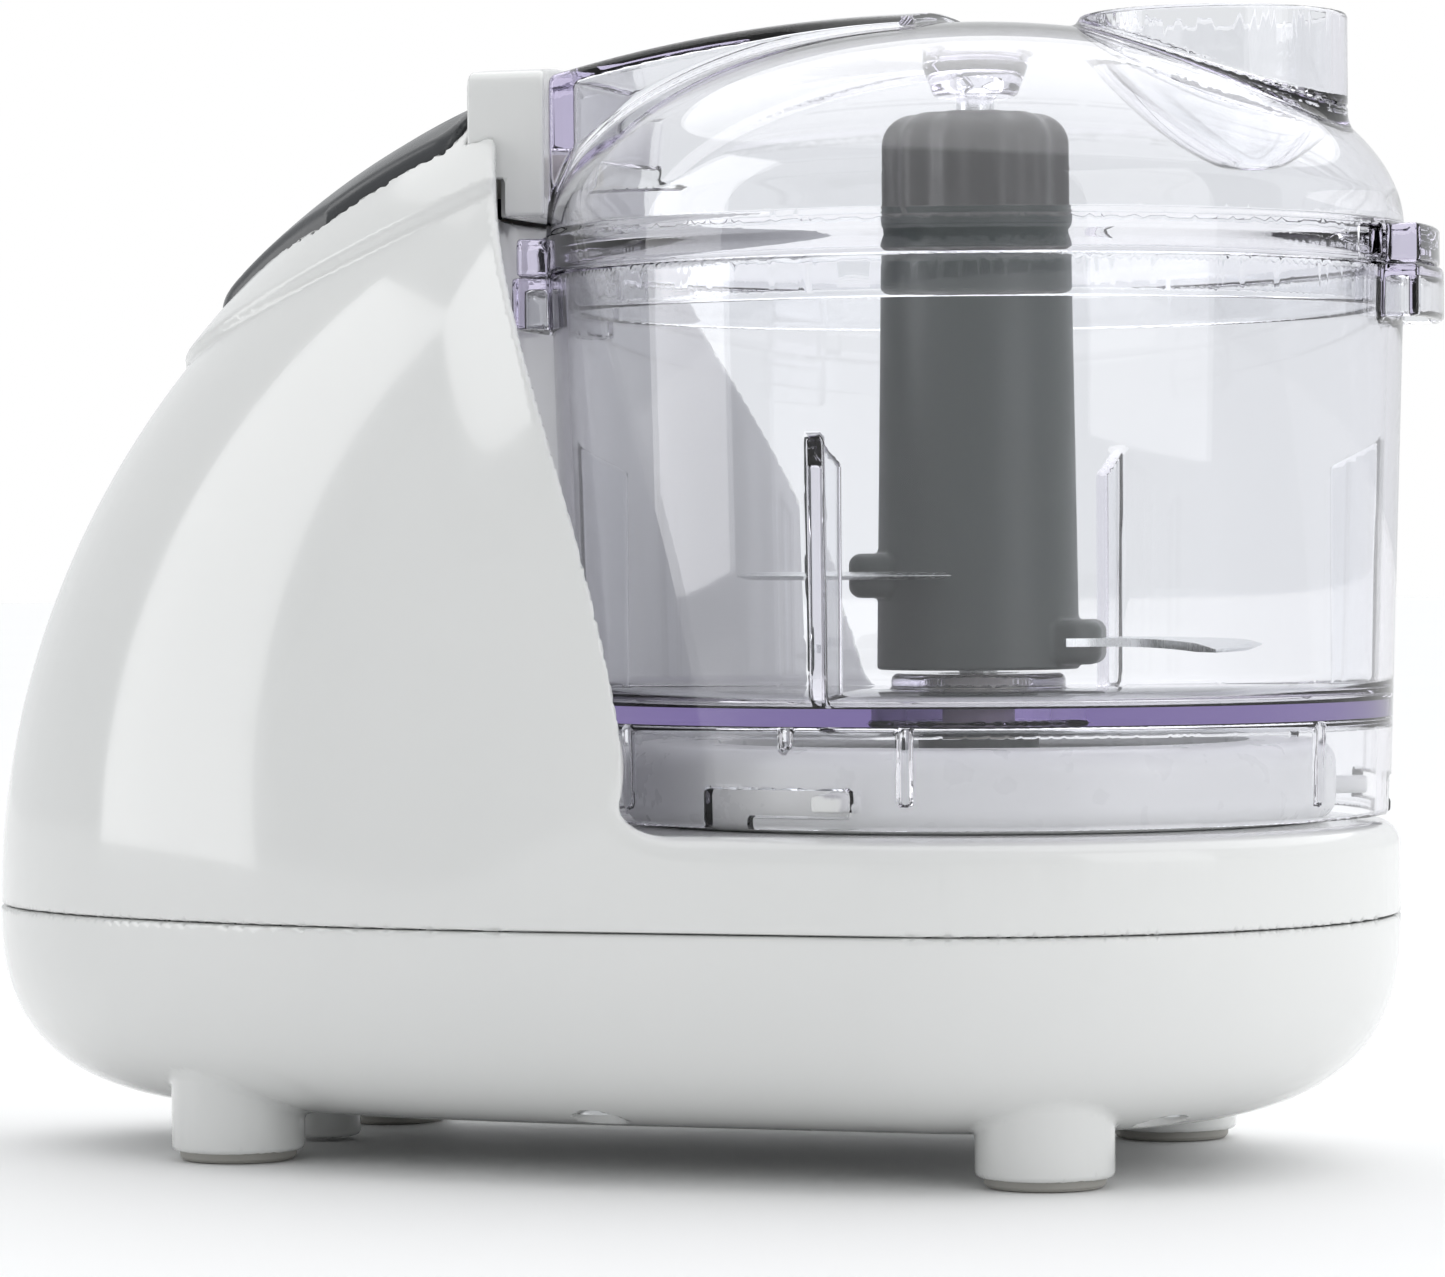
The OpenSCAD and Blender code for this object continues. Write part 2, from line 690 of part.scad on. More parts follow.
module blade_hub() {
    crown = [for (p = curve([13.6, hub_top_z - 8], [13.4, hub_top_z], [7, hub_top_z])) p];
    color("dimgray") at_bowl() difference() {
        union() {
            rotate_extrude() polygon(concat(
                [[spindle_r, hub_z], [hub_r, hub_z], [hub_r - 0.9, hub_z + 61], [13.6, hub_z + 62]],
                crown, [[6, hub_top_z - 1], [spindle_r, hub_top_z - 1]]));
            for (s = [[upper_turn, upper_blade_z], [lower_turn, lower_blade_z]])
                rotate([0, 0, s[0] - 8]) translate([0, 0, s[1] - 3.2]) intersection() {
                    translate([6, -10, 0]) cube([13, 20, 6.4]);
                    cylinder(r = 18.6, h = 6.4);
                }
        }
        for (a = [0:30:330]) rotate([0, 0, a]) translate([17.1, 0, hub_z + 62])
            cylinder(r = 4, h = 30, $fn = 32);
        translate([0, 0, hub_z - 1]) difference() {
            cylinder(r = 11.6, h = hub_top_z - hub_z - 5);
            translate([0, 0, -1]) cylinder(r = 5.2, h = 200);
            for (a = [0, 90]) rotate([0, 0, a]) translate([-12, -0.9, -1]) cube([24, 1.8, 200]);
        }
        blade_shape(upper_turn, upper_blade_z, upper_bow);
        blade_shape(lower_turn, lower_blade_z, lower_bow);
    }
}

// A sickle blade with a broad root, swept back from its sharp outer edge to a point.
module blade_shape(turn, z, bow) {
    tip = [0.535 * bow, -35];
    lead = curve([4.7, 18], [bow, 14], tip, 14);
    trail = curve(tip, [0.45 * bow, -6], [12.3, -13], 14);
    rotate([0, 0, turn]) translate([0, 0, z - 0.6]) linear_extrude(1.2) polygon(concat(lead, trail));
}

module blade(turn, z, bow) {
    difference() {
        blade_shape(turn, z, bow);
        disc(11.7, z - 3, z + 3);
    }
}

module upper_blade() { color("lightsteelblue") at_bowl() blade(upper_turn, upper_blade_z, upper_bow); }
module lower_blade() { color("lightsteelblue") at_bowl() blade(lower_turn, lower_blade_z, lower_bow); }

// ---- clear bowl and lid ------------------------------------------------------------------

module bowl() {
    inner = clear_t;
    floor_low = bowl_floor_z - 2.5;
    color("lavender", 0.4) at_bowl() difference() {
        union() {
            rotate_extrude() polygon([
                [boss_r - 2.2, floor_low], [bowl_r(floor_low) - inner, floor_low],
                [skirt_r - inner, skirt_z], [skirt_r, skirt_z], [rim_r, rim_z], [rim_r - inner, rim_z],
                [bowl_r(bowl_floor_z) - inner, bowl_floor_z], [boss_r, bowl_floor_z], [boss_r, boss_z],
                [5.4, boss_z], [5.4, boss_z - 2.4], [boss_r - 2.2, boss_z - 2.4]]);
            for (a = [0:90:270]) rotate([0, 0, a]) translate([52.5, -1, bowl_floor_z - 0.5])
                cube([bowl_r(bowl_floor_z) - 1 - 52.5, 2, 36.5]);
            for (a = [0, 180]) ring_sector(bowl_r(rim_z - 8) - 1.2, lug_r, rim_z - 7.8, rim_z, lug_at + a,
                lug_span);
        }
        // the bayonet slots that the seat's pins lie in: along the skirt, then down and out
        for (a = seat_pins) {
            ring_sector(skirt_r - 5, skirt_r + 5, deck_z + 3, deck_z + 6.6, a - bowl_turn / 2, bowl_turn + 7);
            ring_sector(skirt_r - 5, skirt_r + 5, deck_z - 1, deck_z + 6.6, a - bowl_turn, 7);
        }
    }
}

module spindle_bush() {
    color("ivory") at_bowl() {
        tube(5.4, spindle_r + run_gap, dog_z + 6.2, boss_z);
        tube(7.4, 5, boss_z - 4.2, boss_z - 2.4);
    }
}

// The dome's half section, drawn in by a wall thickness.
function dome_curve(inset) = [for (i = [0:20]) let (t = 90 * i / 20)
    [(rim_r - inset) * cos(t), dome_z + (dome_h - inset) * sin(t)]];

// The lid's round outside: dome, rim band and the lip that goes into the bowl.
module lid_outside() {
    lip_r = rim_r - clear_t - 0.35;
    rotate_extrude() polygon(concat(dome_curve(0), [[0, rim_z - 6], [lip_r, rim_z - 6], [lip_r, rim_z],
        [rim_r + 0.4, rim_z], [rim_r + 0.4, dome_z]]));
}

// The hollow under the dome.
module lid_inside(wall) {
    lip_in = rim_r - clear_t - 2.15;
    rotate_extrude() polygon(concat(dome_curve(wall), [[0, rim_z - 8], [lip_in, rim_z - 8],
        [lip_in, rim_z + 1], [rim_r - wall, dome_z - 2]]));
}

// The arm's outside, or its inside when drawn in by a wall.
module arm_solid(inset) {
    low = inset > 0 ? dome_z + 2 : dome_z - 1;
    top = curve([-arm_end_r - 1, 162.4], [-38, 170.8], [-4, 170.4], 10);
    crown = [for (p = top) [p[0], p[1] - inset]];
    intersection() {
        side_plate(concat([[-4 - inset, low], [-arm_end_r - 1, low]], crown), arm_half - inset);
        cylinder(r = arm_end_r - 2 * inset, h = 300);
        rotate([90, 0, 90]) translate([0, 0, -100]) linear_extrude(200) polygon(concat(
            [[arm_half + 1, 0], [-arm_half - 1, 0]],
            [for (i = [-10:10]) [i * (arm_half + 1) / 10, 171 - inset - 1.8 * pow(i / 10, 2)]]));
    }
}

module lid() {
    wall = clear_t - 0.2;
    well_z = 147;
    tube_low = 152;
    color("lavender", 0.4) at_bowl() difference() {
        union() {
            difference() {
                union() {
                    lid_outside();
                    arm_solid(0);
                    for (a = [0, 180])
                        ring_sector(rim_r - 2, lug_r - 0.6, rim_z, dome_z - 0.3, lug_at + a, lug_span - 4);
                }
                lid_inside(wall);
                arm_solid(wall);
                translate([chute_at, 0, dome_z + 3]) cylinder(r = chute_r - wall / 2, h = 60);
            }
            // the chute, and the well under it down to the drip hole
            translate([chute_at, 0, 0]) rotate_extrude() polygon([[chute_r, tube_low], [chute_r, chute_z],
                [chute_r - wall, chute_z], [chute_r - wall, tube_low + 3], [3, well_z + 1.6], [3, well_z],
                [4.5, well_z]]);
            // the socket that steadies the spindle's tip
            tube(7.5, spindle_r + 0.08, hub_top_z + 1.8, dome_z + dome_h - 1);
        }
        cam_slot();
    }
}

// The cam slot in the arm's end face that the plunger rides in.
module cam_slot() {
    difference() {
        translate([-arm_end_r - 1, -plunger_r - 1, plunger_z - plunger_r - 0.8])
            cube([9, arm_half + 10, 2 * plunger_r + 1.6]);
        cylinder(r = arm_end_r - 3, h = 300);
    }
}

base_tub();
upper_casing();
lid_collar();
foot_pads();
casing_screws();
cord_gland();
bowl_seat();
drive_bearing();
motor_chassis();
motor_screws();
stator_core();
field_coils();
lower_bracket();
upper_bracket();
motor_bushes();
brush_holders();
carbon_brushes();
suppressor_capacitor();
drive_belt();
pulse_switch();
interlock_switch();
switch_frame();
button_pin();
button_spring();
pulse_button();
interlock_plunger();
rotor_shaft();
armature_core();
armature_windings();
commutator();
cooling_fan();
motor_pulley();
drive_pulley();
drive_shaft();
drive_dog();
driven_dog();
blade_spindle();
blade_hub();
upper_blade();
lower_blade();
bowl();
spindle_bush();
lid();
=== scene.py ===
"""A side-by-side mini chopper: looks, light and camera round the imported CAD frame.

The mouldings are made from fields: a field is a function of x, y and z that is below 0 inside the
shape and close to a distance near its surface. Fields, outlines and radii are in millimetres about
the bowl's axis, as in the CAD source. Everything that Blender gets is in metres, in the row frame.
"""

import math

import bpy
import numpy as np
from mathutils import Matrix, Vector


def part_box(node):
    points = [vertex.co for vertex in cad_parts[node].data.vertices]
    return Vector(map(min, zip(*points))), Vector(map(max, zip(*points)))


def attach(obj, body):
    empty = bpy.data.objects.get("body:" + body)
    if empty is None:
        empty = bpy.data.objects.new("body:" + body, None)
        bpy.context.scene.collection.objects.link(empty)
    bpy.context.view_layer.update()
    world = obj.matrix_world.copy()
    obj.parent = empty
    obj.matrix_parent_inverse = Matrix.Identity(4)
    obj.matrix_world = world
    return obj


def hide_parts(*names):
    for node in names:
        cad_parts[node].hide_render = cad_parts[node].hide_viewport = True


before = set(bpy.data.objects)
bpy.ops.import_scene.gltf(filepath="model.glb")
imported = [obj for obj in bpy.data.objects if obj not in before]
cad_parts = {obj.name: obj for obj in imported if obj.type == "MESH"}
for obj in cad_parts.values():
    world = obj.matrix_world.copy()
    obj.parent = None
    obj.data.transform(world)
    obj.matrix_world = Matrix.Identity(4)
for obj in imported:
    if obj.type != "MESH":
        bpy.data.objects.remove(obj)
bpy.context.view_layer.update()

MM = 0.001


def middle(node):
    """The middle of a CAD node's box in the row frame, in millimetres."""
    low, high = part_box(node)
    return [(a + b) / 2 / MM for a, b in zip(low, high)]


AXIS_X = middle("drive_bearing")[0]


def span(node, axis):
    """Lowest and highest place of a CAD node along X, Y or Z, in millimetres about the bowl's axis."""
    low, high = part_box(node)
    off = AXIS_X if axis == 0 else 0
    return low[axis] / MM - off, high[axis] / MM - off


# ---- sizes, from the frame where it has them ---------------------------------------------------

# body
BODY_HALF = span("base_tub", 1)[1]
FRONT_R = span("base_tub", 0)[1]
SIDE_RUN = 40  # straight stretch of each side, behind the bowl's axis
REAR_LEN = -span("base_tub", 0)[0] - SIDE_RUN
PARTING_Z = span("upper_casing", 2)[0]
PARTING_GAP = 0.07  # half the line between the casing and the tub
SEAT_H = 12  # height of the locking ring over the deck
DECK_Z = span("bowl_seat", 2)[1] - SEAT_H
TUB_Z = 6.3  # the tub's flat underside
TUB_INSET = 40  # how far in from its edge the underside turns flat
TUB_POWER = 2.65  # fullness of the round between side and underside
TOWER_RISE = 130
SPINE_POWER = 1.85  # fullness of the tower's outline from the side
FLANK_POWER = 1.75  # and from behind
SHELL = 2.4  # wall of the white mouldings
SHOULDER_Z0, SHOULDER_SLOPE = 173.5, 0.445  # the line under which the side panels lie
FOOT_PLACES = [(20, 37), (20, -37), (-107, 31), (-107, -31)]
FOOT_R, PAD_R = 10, 8.75
SCREW_PLACES = [(34, 26), (34, -26), (-45, 43), (-45, -43), (-136, 0)]

# locking ring, and the pins on it that hold the bowl
SEAT_R = 53
PIN_DIRECTIONS = [-95, 25, 145]

# bowl and lid
SKIRT_Z, RIM_Z = span("bowl", 2)
SKIRT_R, RIM_R = 61, 63.4
CLEAR = 2.2  # the bowl's wall
FLOOR_Z, BOSS_Z = 68.5, 72.4  # the bowl's floor and the boss in its middle
RIB_DIRECTIONS = [15, 84, 195, 264]
RIB_R, RIB_TOP = 52.5, 104.5
SKIRT_PINS = [(-131, 54), (-101, 63), (-84, 55), (-20, 54), (49, 55), (139, 55)]  # direction, foot
LUG_R, LUG_AT, LUG_SPAN = 69.2, 6, 27  # the locking lugs' reach, direction and angle
BAND_Z = 137.9  # where the lid's dome starts
DOME_H = 31
DOME_WALL = 2
ARM_HALF, ARM_END_R = 20, 63.6
ARM_LOW, ARM_HIGH = 162.4, 170.4  # height of the arm's top at its ends
CHUTE_R, CHUTE_X, CHUTE_Z = 19.75, 36.3, 169
CHUTE_WALL = 2.3
WELL_Z = 146.5  # the foot of the oil well
DRIP_R = 3.6  # the well's outside there
WELL_SHIFT = 6  # how much nearer the rim the drip hole lies than the chute's axis
SOCKET_R, SOCKET_Z = 6.2, 159.5  # the socket over the spindle's tip

# lid collar, pulse button and plunger
COLLAR_X = -73.5
COLLAR_Z = span("lid_collar", 2)
BUTTON_HALF = 20.5
BUTTON_X, BUTTON_FRONT = -118, -75.6
BUTTON_RISE = 1.9  # how far it stands proud of the tower
PLUNGER_Z = middle("interlock_plunger")[2]


# ---- fields ------------------------------------------------------------------------------------


def smooth(t):
    """0 below 0, 1 above 1, and a smooth rise between."""
    t = np.clip(t, 0, 1)
    return t * t * (3 - 2 * t)


def both(a, b, r=0.0):
    """Where two fields overlap, with an edge of radius r."""
    if np.isscalar(r) and r == 0:
        return np.maximum(a, b)
    return np.minimum(-r, np.maximum(a, b)) + np.hypot(np.maximum(a + r, 0), np.maximum(b + r, 0))


def either(a, b, r=0.0):
    """Two fields joined, with a fillet of radius r."""
    return -both(-a, -b, r)


def minus(a, b, r=0.0):
    """The first field without the second."""
    return both(a, -b, r)


def slab(v, low, high):
    """Between two places along one direction."""
    return np.maximum(low - v, v - high)


def rod(u, v, r):
    """A round bar."""
    return np.hypot(u, v) - r


def evened(field, x, y, z, step=0.05):
    """A field divided by its own slope, so that its values are close to distances."""
    here = field(x, y, z)
    slopes = [field(x + step, y, z) - here, field(x, y + step, z) - here, field(x, y, z + step) - here]
    slope = np.sqrt(sum(s * s for s in slopes)) / step
    return here / np.maximum(slope, 1e-4)


def turned(x, y, degrees):
    """Coordinates along and across a direction in plan."""
    c, s = math.cos(math.radians(degrees)), math.sin(math.radians(degrees))
    return x * c + y * s, y * c - x * s


def sector(x, y, direction, opening, r=60):
    """Inside a wedge that opens from the axis, measured across it at radius r."""
    angle = np.degrees(np.arctan2(y, x)) - direction
    angle = (angle + 180) % 360 - 180
    return (np.abs(angle) - opening / 2) * math.pi / 180 * np.minimum(np.hypot(x, y), 1.4 * r)


# ---- surfaces from fields ----------------------------------------------------------------------

COARSE = 4


def node_values(field, axes, step):
    """The field at every grid node. Far from the surface only its sign is right."""
    wide = [a[::COARSE] for a in axes]
    rough = field(*[g.ravel() for g in np.meshgrid(*wide, indexing="ij")])
    rough = rough.reshape([len(a) for a in wide]).astype(np.float32)
    near = np.abs(rough) < 1.3 * math.sqrt(3) * COARSE * step
    for axis in range(3):
        near = near | np.roll(near, 1, axis) | np.roll(near, -1, axis)
    fine = np.sign(rough) * 1e3
    for axis in range(3):
        fine, near = np.repeat(fine, COARSE, axis), np.repeat(near, COARSE, axis)
    keep = tuple(slice(0, len(a)) for a in axes)
    fine, near = fine[keep], near[keep]
    i, j, k = np.nonzero(near)
    fine[i, j, k] = field(axes[0][i], axes[1][j], axes[2][k])
    return fine


def slope_of(field, p, step):
    """The field's slope at points, by differences both ways."""
    out = np.empty_like(p)
    for axis in range(3):
        d = np.zeros(3)
        d[axis] = step
        out[:, axis] = (field(*(p + d).T) - field(*(p - d).T)) / (2 * step)
    return out


def settle(field, p, step, rounds=3):
    """Moves points along the slope onto the field's surface, by no more than half a grid step each time."""
    for _ in range(rounds):
        g = slope_of(field, p, 0.02)
        move = -field(*p.T)[:, None] * g / np.maximum((g * g).sum(1), 1e-6)[:, None]
        length = np.linalg.norm(move, axis=1, keepdims=True)
        p = p + move * np.minimum(1, 0.5 * step / np.maximum(length, 1e-9))
    return p


def net(field, low, high, step):
    """Points and four-sided faces of the field's surface inside a box."""
    axes = []
    for a, b in zip(low, high):
        n = int(math.ceil((b - a) / step / COARSE)) * COARSE + 1
        axes.append(a - 0.37 * step + step * np.arange(n))
    values = node_values(field, axes, step)
    inside = values < 0
    shape = np.array(values.shape) - 1
    steps = [(i, j, k) for i in (0, 1) for j in (0, 1) for k in (0, 1)]
    corner = {s: inside[s[0]:shape[0] + s[0], s[1]:shape[1] + s[1], s[2]:shape[2] + s[2]] for s in steps}
    count = sum(c.astype(np.int8) for c in corner.values())
    cells = np.nonzero((count > 0) & (count < 8))
    index = np.full(shape, -1, np.int32)
    index[cells] = np.arange(len(cells[0]))
    total, hits = np.zeros((len(cells[0]), 3)), np.zeros(len(cells[0]))
    for s in steps:
        for axis in range(3):
            if s[axis]:
                continue
            e = list(s)
            e[axis] = 1
            v0 = values[cells[0] + s[0], cells[1] + s[1], cells[2] + s[2]]
            v1 = values[cells[0] + e[0], cells[1] + e[1], cells[2] + e[2]]
            crossed = (v0 < 0) != (v1 < 0)
            t = np.where(crossed, v0 / np.where(crossed, v0 - v1, 1), 0)
            place = np.tile(np.array(s, float), (len(t), 1))
            place[:, axis] = t
            total += place * crossed[:, None]
            hits += crossed
    local = total / hits[:, None]
    points = np.stack([axes[a][cells[a]] + step * local[:, a] for a in range(3)], 1)
    faces = []
    for axis in range(3):
        u, v = [(1, 2), (2, 0), (0, 1)][axis]
        cut = [slice(1, n) for n in shape]
        cut[axis] = slice(0, shape[axis])
        ahead = list(cut)
        ahead[axis] = slice(1, shape[axis] + 1)
        a, b = inside[tuple(cut)], inside[tuple(ahead)]
        at = np.array(np.nonzero(a != b))
        outward = a[tuple(at)]
        at[u] += 1
        at[v] += 1
        ring = []
        for du, dv in ((-1, -1), (0, -1), (0, 0), (-1, 0)):
            c = at.copy()
            c[u] += du
            c[v] += dv
            ring.append(index[tuple(c)])
        quad = np.stack(ring, 1)
        faces.append(np.where(outward[:, None], quad, quad[:, ::-1]))
    return points, np.concatenate(faces).tolist()


def to_frame(p):
    """Points in millimetres about the bowl's axis, in metres in the row frame."""
    return (np.asarray(p, float) + (AXIS_X, 0, 0)) * MM


def new_object(name, points, faces):
    """An object from points in millimetres about the bowl's axis."""
    mesh = bpy.data.meshes.new(name)
    mesh.from_pydata(to_frame(points).tolist(), [], [tuple(f) for f in faces])
    mesh.validate()
    made = bpy.data.objects.new(name, mesh)
    bpy.context.scene.collection.objects.link(made)
    return made


def thinned(piece, share):
    """Drops faces where the surface is nearly flat."""
    if share >= 1:
        return
    change = piece.modifiers.new("thin", "DECIMATE")
    change.ratio = share
    apply_modifiers(piece)


def apply_modifiers(piece):
    """Makes the modifiers' result the piece's own mesh."""
    seen = piece.evaluated_get(bpy.context.evaluated_depsgraph_get())
    mesh = bpy.data.meshes.new_from_object(seen)
    piece.modifiers.clear()
    piece.data = mesh


def own_points(piece):
    """A piece's points in millimetres about the bowl's axis."""
    co = np.empty(len(piece.data.vertices) * 3)
    piece.data.vertices.foreach_get("co", co)
    return co.reshape(-1, 3) / MM - (AXIS_X, 0, 0)


def moulding(name, field, low, high, step, share=0.4, edge=0.12):
    """A piece whose surface is where the field is 0, with the field's own slope as its normals."""
    points, faces = net(field, low, high, step)
    points = settle(field, points, step)
    made = new_object(name, points, faces)
    thinned(made, share)
    points = settle(field, own_points(made), step, 2)
    made.data.vertices.foreach_set("co", to_frame(points).ravel())
    made.data.shade_smooth()
    normals = slope_of(field, points, edge)
    normals /= np.maximum(np.linalg.norm(normals, axis=1, keepdims=True), 1e-9)
    made.data.normals_split_custom_set_from_vertices(normals.tolist())
    return made


def lathe(name, profile, at=(0, 0), sides=96, sharp=35):
    """A turned piece from (radius, height) pairs that run outside from the bottom up."""
    points, faces = [], []
    for r, z in profile:
        for i in range(sides):
            a = 2 * math.pi * i / sides
            points.append((at[0] + r * math.cos(a), at[1] + r * math.sin(a), z))
    rows = len(profile)
    for k in range(rows - 1):
        for i in range(sides):
            j = (i + 1) % sides
            faces.append((k * sides + i, k * sides + j, (k + 1) * sides + j, (k + 1) * sides + i))
    faces.append(tuple(reversed(range(sides))))
    faces.append(tuple((rows - 1) * sides + i for i in range(sides)))
    made = new_object(name, points, faces)
    smooth_by_angle(made, sharp)
    return made


def smooth_by_angle(piece, degrees):
    """Smooth shading, with edges over an angle left sharp."""
    mesh = piece.data
    mesh.shade_smooth()
    mesh.set_sharp_from_angle(angle=math.radians(degrees))


# ---- materials ---------------------------------------------------------------------------------


class Nodes:
    """A new material's node tree with short calls for what the materials here share."""

    def __init__(self, name):
        self.material = bpy.data.materials.new(name)
        self.material.use_nodes = True
        self.tree = self.material.node_tree
        self.shader = self.tree.nodes["Principled BSDF"]
        self.output = self.tree.nodes["Material Output"]
        self.place = self.tree.nodes.new("ShaderNodeTexCoord").outputs["Object"]

    def link(self, a, b):
        self.tree.links.new(a, b)

    def set(self, **values):
        for key, value in values.items():
            self.shader.inputs[key.replace("_", " ")].default_value = value

    def noise(self, scale, detail=3.0, stretch=(1, 1, 1)):
        """Noise with about scale features to a metre, stretched along an axis."""
        mapping = self.tree.nodes.new("ShaderNodeMapping")
        mapping.inputs["Scale"].default_value = stretch
        self.link(self.place, mapping.inputs["Vector"])
        made = self.tree.nodes.new("ShaderNodeTexNoise")
        made.inputs["Scale"].default_value = scale
        made.inputs["Detail"].default_value = detail
        self.link(mapping.outputs["Vector"], made.inputs["Vector"])
        return made.outputs["Fac"]

    def ranged(self, value, low, high, source=(0.3, 0.7)):
        """A value spread from low to high."""
        made = self.tree.nodes.new("ShaderNodeMapRange")
        made.inputs["From Min"].default_value, made.inputs["From Max"].default_value = source
        made.inputs["To Min"].default_value, made.inputs["To Max"].default_value = low, high
        self.link(value, made.inputs["Value"])
        return made.outputs["Result"]

    def tinted(self, value, dark, light):
        """The base colour, between two colours by a value."""
        made = self.tree.nodes.new("ShaderNodeMix")
        made.data_type = "RGBA"
        made.inputs["A"].default_value, made.inputs["B"].default_value = (*dark, 1), (*light, 1)
        self.link(value, made.inputs["Factor"])
        self.link(made.outputs["Result"], self.shader.inputs["Base Color"])

    def bumped(self, value, height, strength=1.0):
        """Relief of a height in metres."""
        made = self.tree.nodes.new("ShaderNodeBump")
        made.inputs["Strength"].default_value = strength
        made.inputs["Distance"].default_value = height
        self.link(value, made.inputs["Height"])
        self.link(made.outputs["Normal"], self.shader.inputs["Normal"])

    def rough(self, value, low, high):
        self.link(self.ranged(value, low, high), self.shader.inputs["Roughness"])


def plastic(name, dark, light, roughness, grain, relief, coat=0.0):
    """Moulded plastic: slightly uneven colour and gloss, with fine relief."""
    n = Nodes(name)
    n.tinted(n.noise(25, 2), dark, light)
    n.rough(n.noise(180, 4), *roughness)
    n.bumped(n.noise(grain, 2), relief)
    n.set(IOR=1.52, Coat_Weight=coat, Coat_Roughness=0.04)
    return n.material


def metal(name, dark, light, roughness, stretch=(1, 1, 14), grain=900):
    """Metal with fine drawn or turned lines along one direction."""
    n = Nodes(name)
    lines = n.noise(grain, 3, stretch)
    n.tinted(lines, dark, light)
    n.rough(lines, *roughness)
    n.bumped(lines, 4e-6)
    n.set(Metallic=1.0)
    return n.material


def clear_plastic():
    """Clear moulded plastic, tinted by how much of it light crosses. Lamps shine through it."""
    n = Nodes("clear_plastic")
    n.set(Base_Color=(0.99, 1.0, 1.0, 1), Transmission_Weight=1.0, IOR=1.49)
    n.rough(n.noise(300, 4), 0.0, 0.03)
    path = n.tree.nodes.new("ShaderNodeLightPath")
    through = n.tree.nodes.new("ShaderNodeBsdfTransparent")
    through.inputs["Color"].default_value = (0.955, 0.955, 0.965, 1)
    mix = n.tree.nodes.new("ShaderNodeMixShader")
    n.link(path.outputs["Is Shadow Ray"], mix.inputs["Fac"])
    n.link(n.shader.outputs["BSDF"], mix.inputs[1])
    n.link(through.outputs["BSDF"], mix.inputs[2])
    n.link(mix.outputs["Shader"], n.output.inputs["Surface"])
    volume = n.tree.nodes.new("ShaderNodeVolumeAbsorption")
    volume.inputs["Color"].default_value = (0.35, 0.22, 0.60, 1)
    volume.inputs["Density"].default_value = 19
    n.link(volume.outputs["Volume"], n.output.inputs["Volume"])
    return n.material


def hub_plastic():
    """Dark satin plastic, painted paler on the fluted grip at the top to stand in for the light that the
    lid's dome throws over it.
    """
    n = Nodes("dark_grip")
    parts = n.tree.nodes.new("ShaderNodeSeparateXYZ")
    n.link(n.place, parts.inputs["Vector"])
    # painted light: above the grip's foot the colour turns paler, a painted brightening for the light the
    # lid's dome casts over the grip
    grip_painted_light = n.ranged(parts.outputs["Z"], 0, 1, (0.1345, 0.1365))
    n.tinted(grip_painted_light, (0.034, 0.044, 0.042), (0.098, 0.098, 0.096))
    n.rough(n.noise(180, 4), 0.36, 0.44)
    n.bumped(n.noise(3500, 2), 2e-6)
    n.set(IOR=1.52)
    return n.material


WHITE = plastic("white_shell", (0.80, 0.81, 0.80), (0.84, 0.845, 0.835), (0.09, 0.14), 500, 1.5e-6, 0.3)
INNER_WHITE = plastic("white_seat", (0.78, 0.79, 0.78), (0.83, 0.835, 0.83), (0.25, 0.35), 900, 3e-6)
CLEAR_PLASTIC = clear_plastic()
DARK_GRIP = hub_plastic()
BUTTON_GREY = plastic("button_grey", (0.055, 0.058, 0.062), (0.07, 0.073, 0.078), (0.22, 0.30), 2000, 2e-6)
STEEL = metal("blade_steel", (0.62, 0.63, 0.64), (0.80, 0.81, 0.82), (0.16, 0.32), (1, 1, 14))
BLADE = metal("ground_blade", (0.66, 0.68, 0.69), (0.85, 0.86, 0.87), (0.18, 0.30), (3, 14, 1), 400)
PAD_RUBBER = plastic("foot_rubber", (0.38, 0.37, 0.34), (0.46, 0.45, 0.42), (0.5, 0.65), 3000, 2e-5)
GLAND_RUBBER = plastic("gland_rubber", (0.62, 0.62, 0.61), (0.68, 0.68, 0.67), (0.45, 0.6), 3000, 2e-5)


# ---- body mouldings ----------------------------------------------------------------------------


def taper(up, power):
    """How full the tower still is at a height above the parting."""
    return np.maximum(1e-4, 1 - np.clip(up / TOWER_RISE, 0, 1) ** power) ** (1 / power)


def plan_ratio(x, y, rear, half, front, power):
    """1 on an outline with an elliptical front and a rounded rear, and less inside it."""
    back, ahead = np.maximum(-SIDE_RUN - x, 0), np.maximum(x, 0)
    along = back / rear + ahead / front
    return (along**power + (np.abs(y) / half) ** power) ** (1 / power)


def tower_ratio(x, y, z, raised=0.0):
    """Below 0 inside the tower's side walls, which may be raised by a distance."""
    up = np.maximum(z - PARTING_Z, 0)
    up = np.maximum(up - 13.7 * smooth((x + 70) / 35), 0)
    rear, half = REAR_LEN * taper(up, SPINE_POWER) + raised, BODY_HALF * taper(up, FLANK_POWER) + raised
    return plan_ratio(x, y, rear, half, FRONT_R, 2 + 0.7 * up / TOWER_RISE) - 1


def shoulder_drop(x, z):
    """How far the side panels lie under the tower's upper band."""
    under = SHOULDER_Z0 + SHOULDER_SLOPE * x - z
    return 1.5 * smooth((under + 3) / 3) * np.exp(-np.maximum(under, 0) / 26)


def bowl_clearance(x, y, z):
    """The leaning round wall that the tower turns to the bowl."""
    return 69.7 + 2.2 * (z - DECK_Z) / 120 - np.hypot(x, y)


def casing_outside(x, y, z):
    sides = evened(tower_ratio, x, y, z) + shoulder_drop(x, z)
    top = either(z - DECK_Z, bowl_clearance(x, y, z), 4.5)
    edge = 1.3 + 2.4 * (1 - smooth((z - DECK_Z + 2) / 14))
    return both(sides, top, edge)


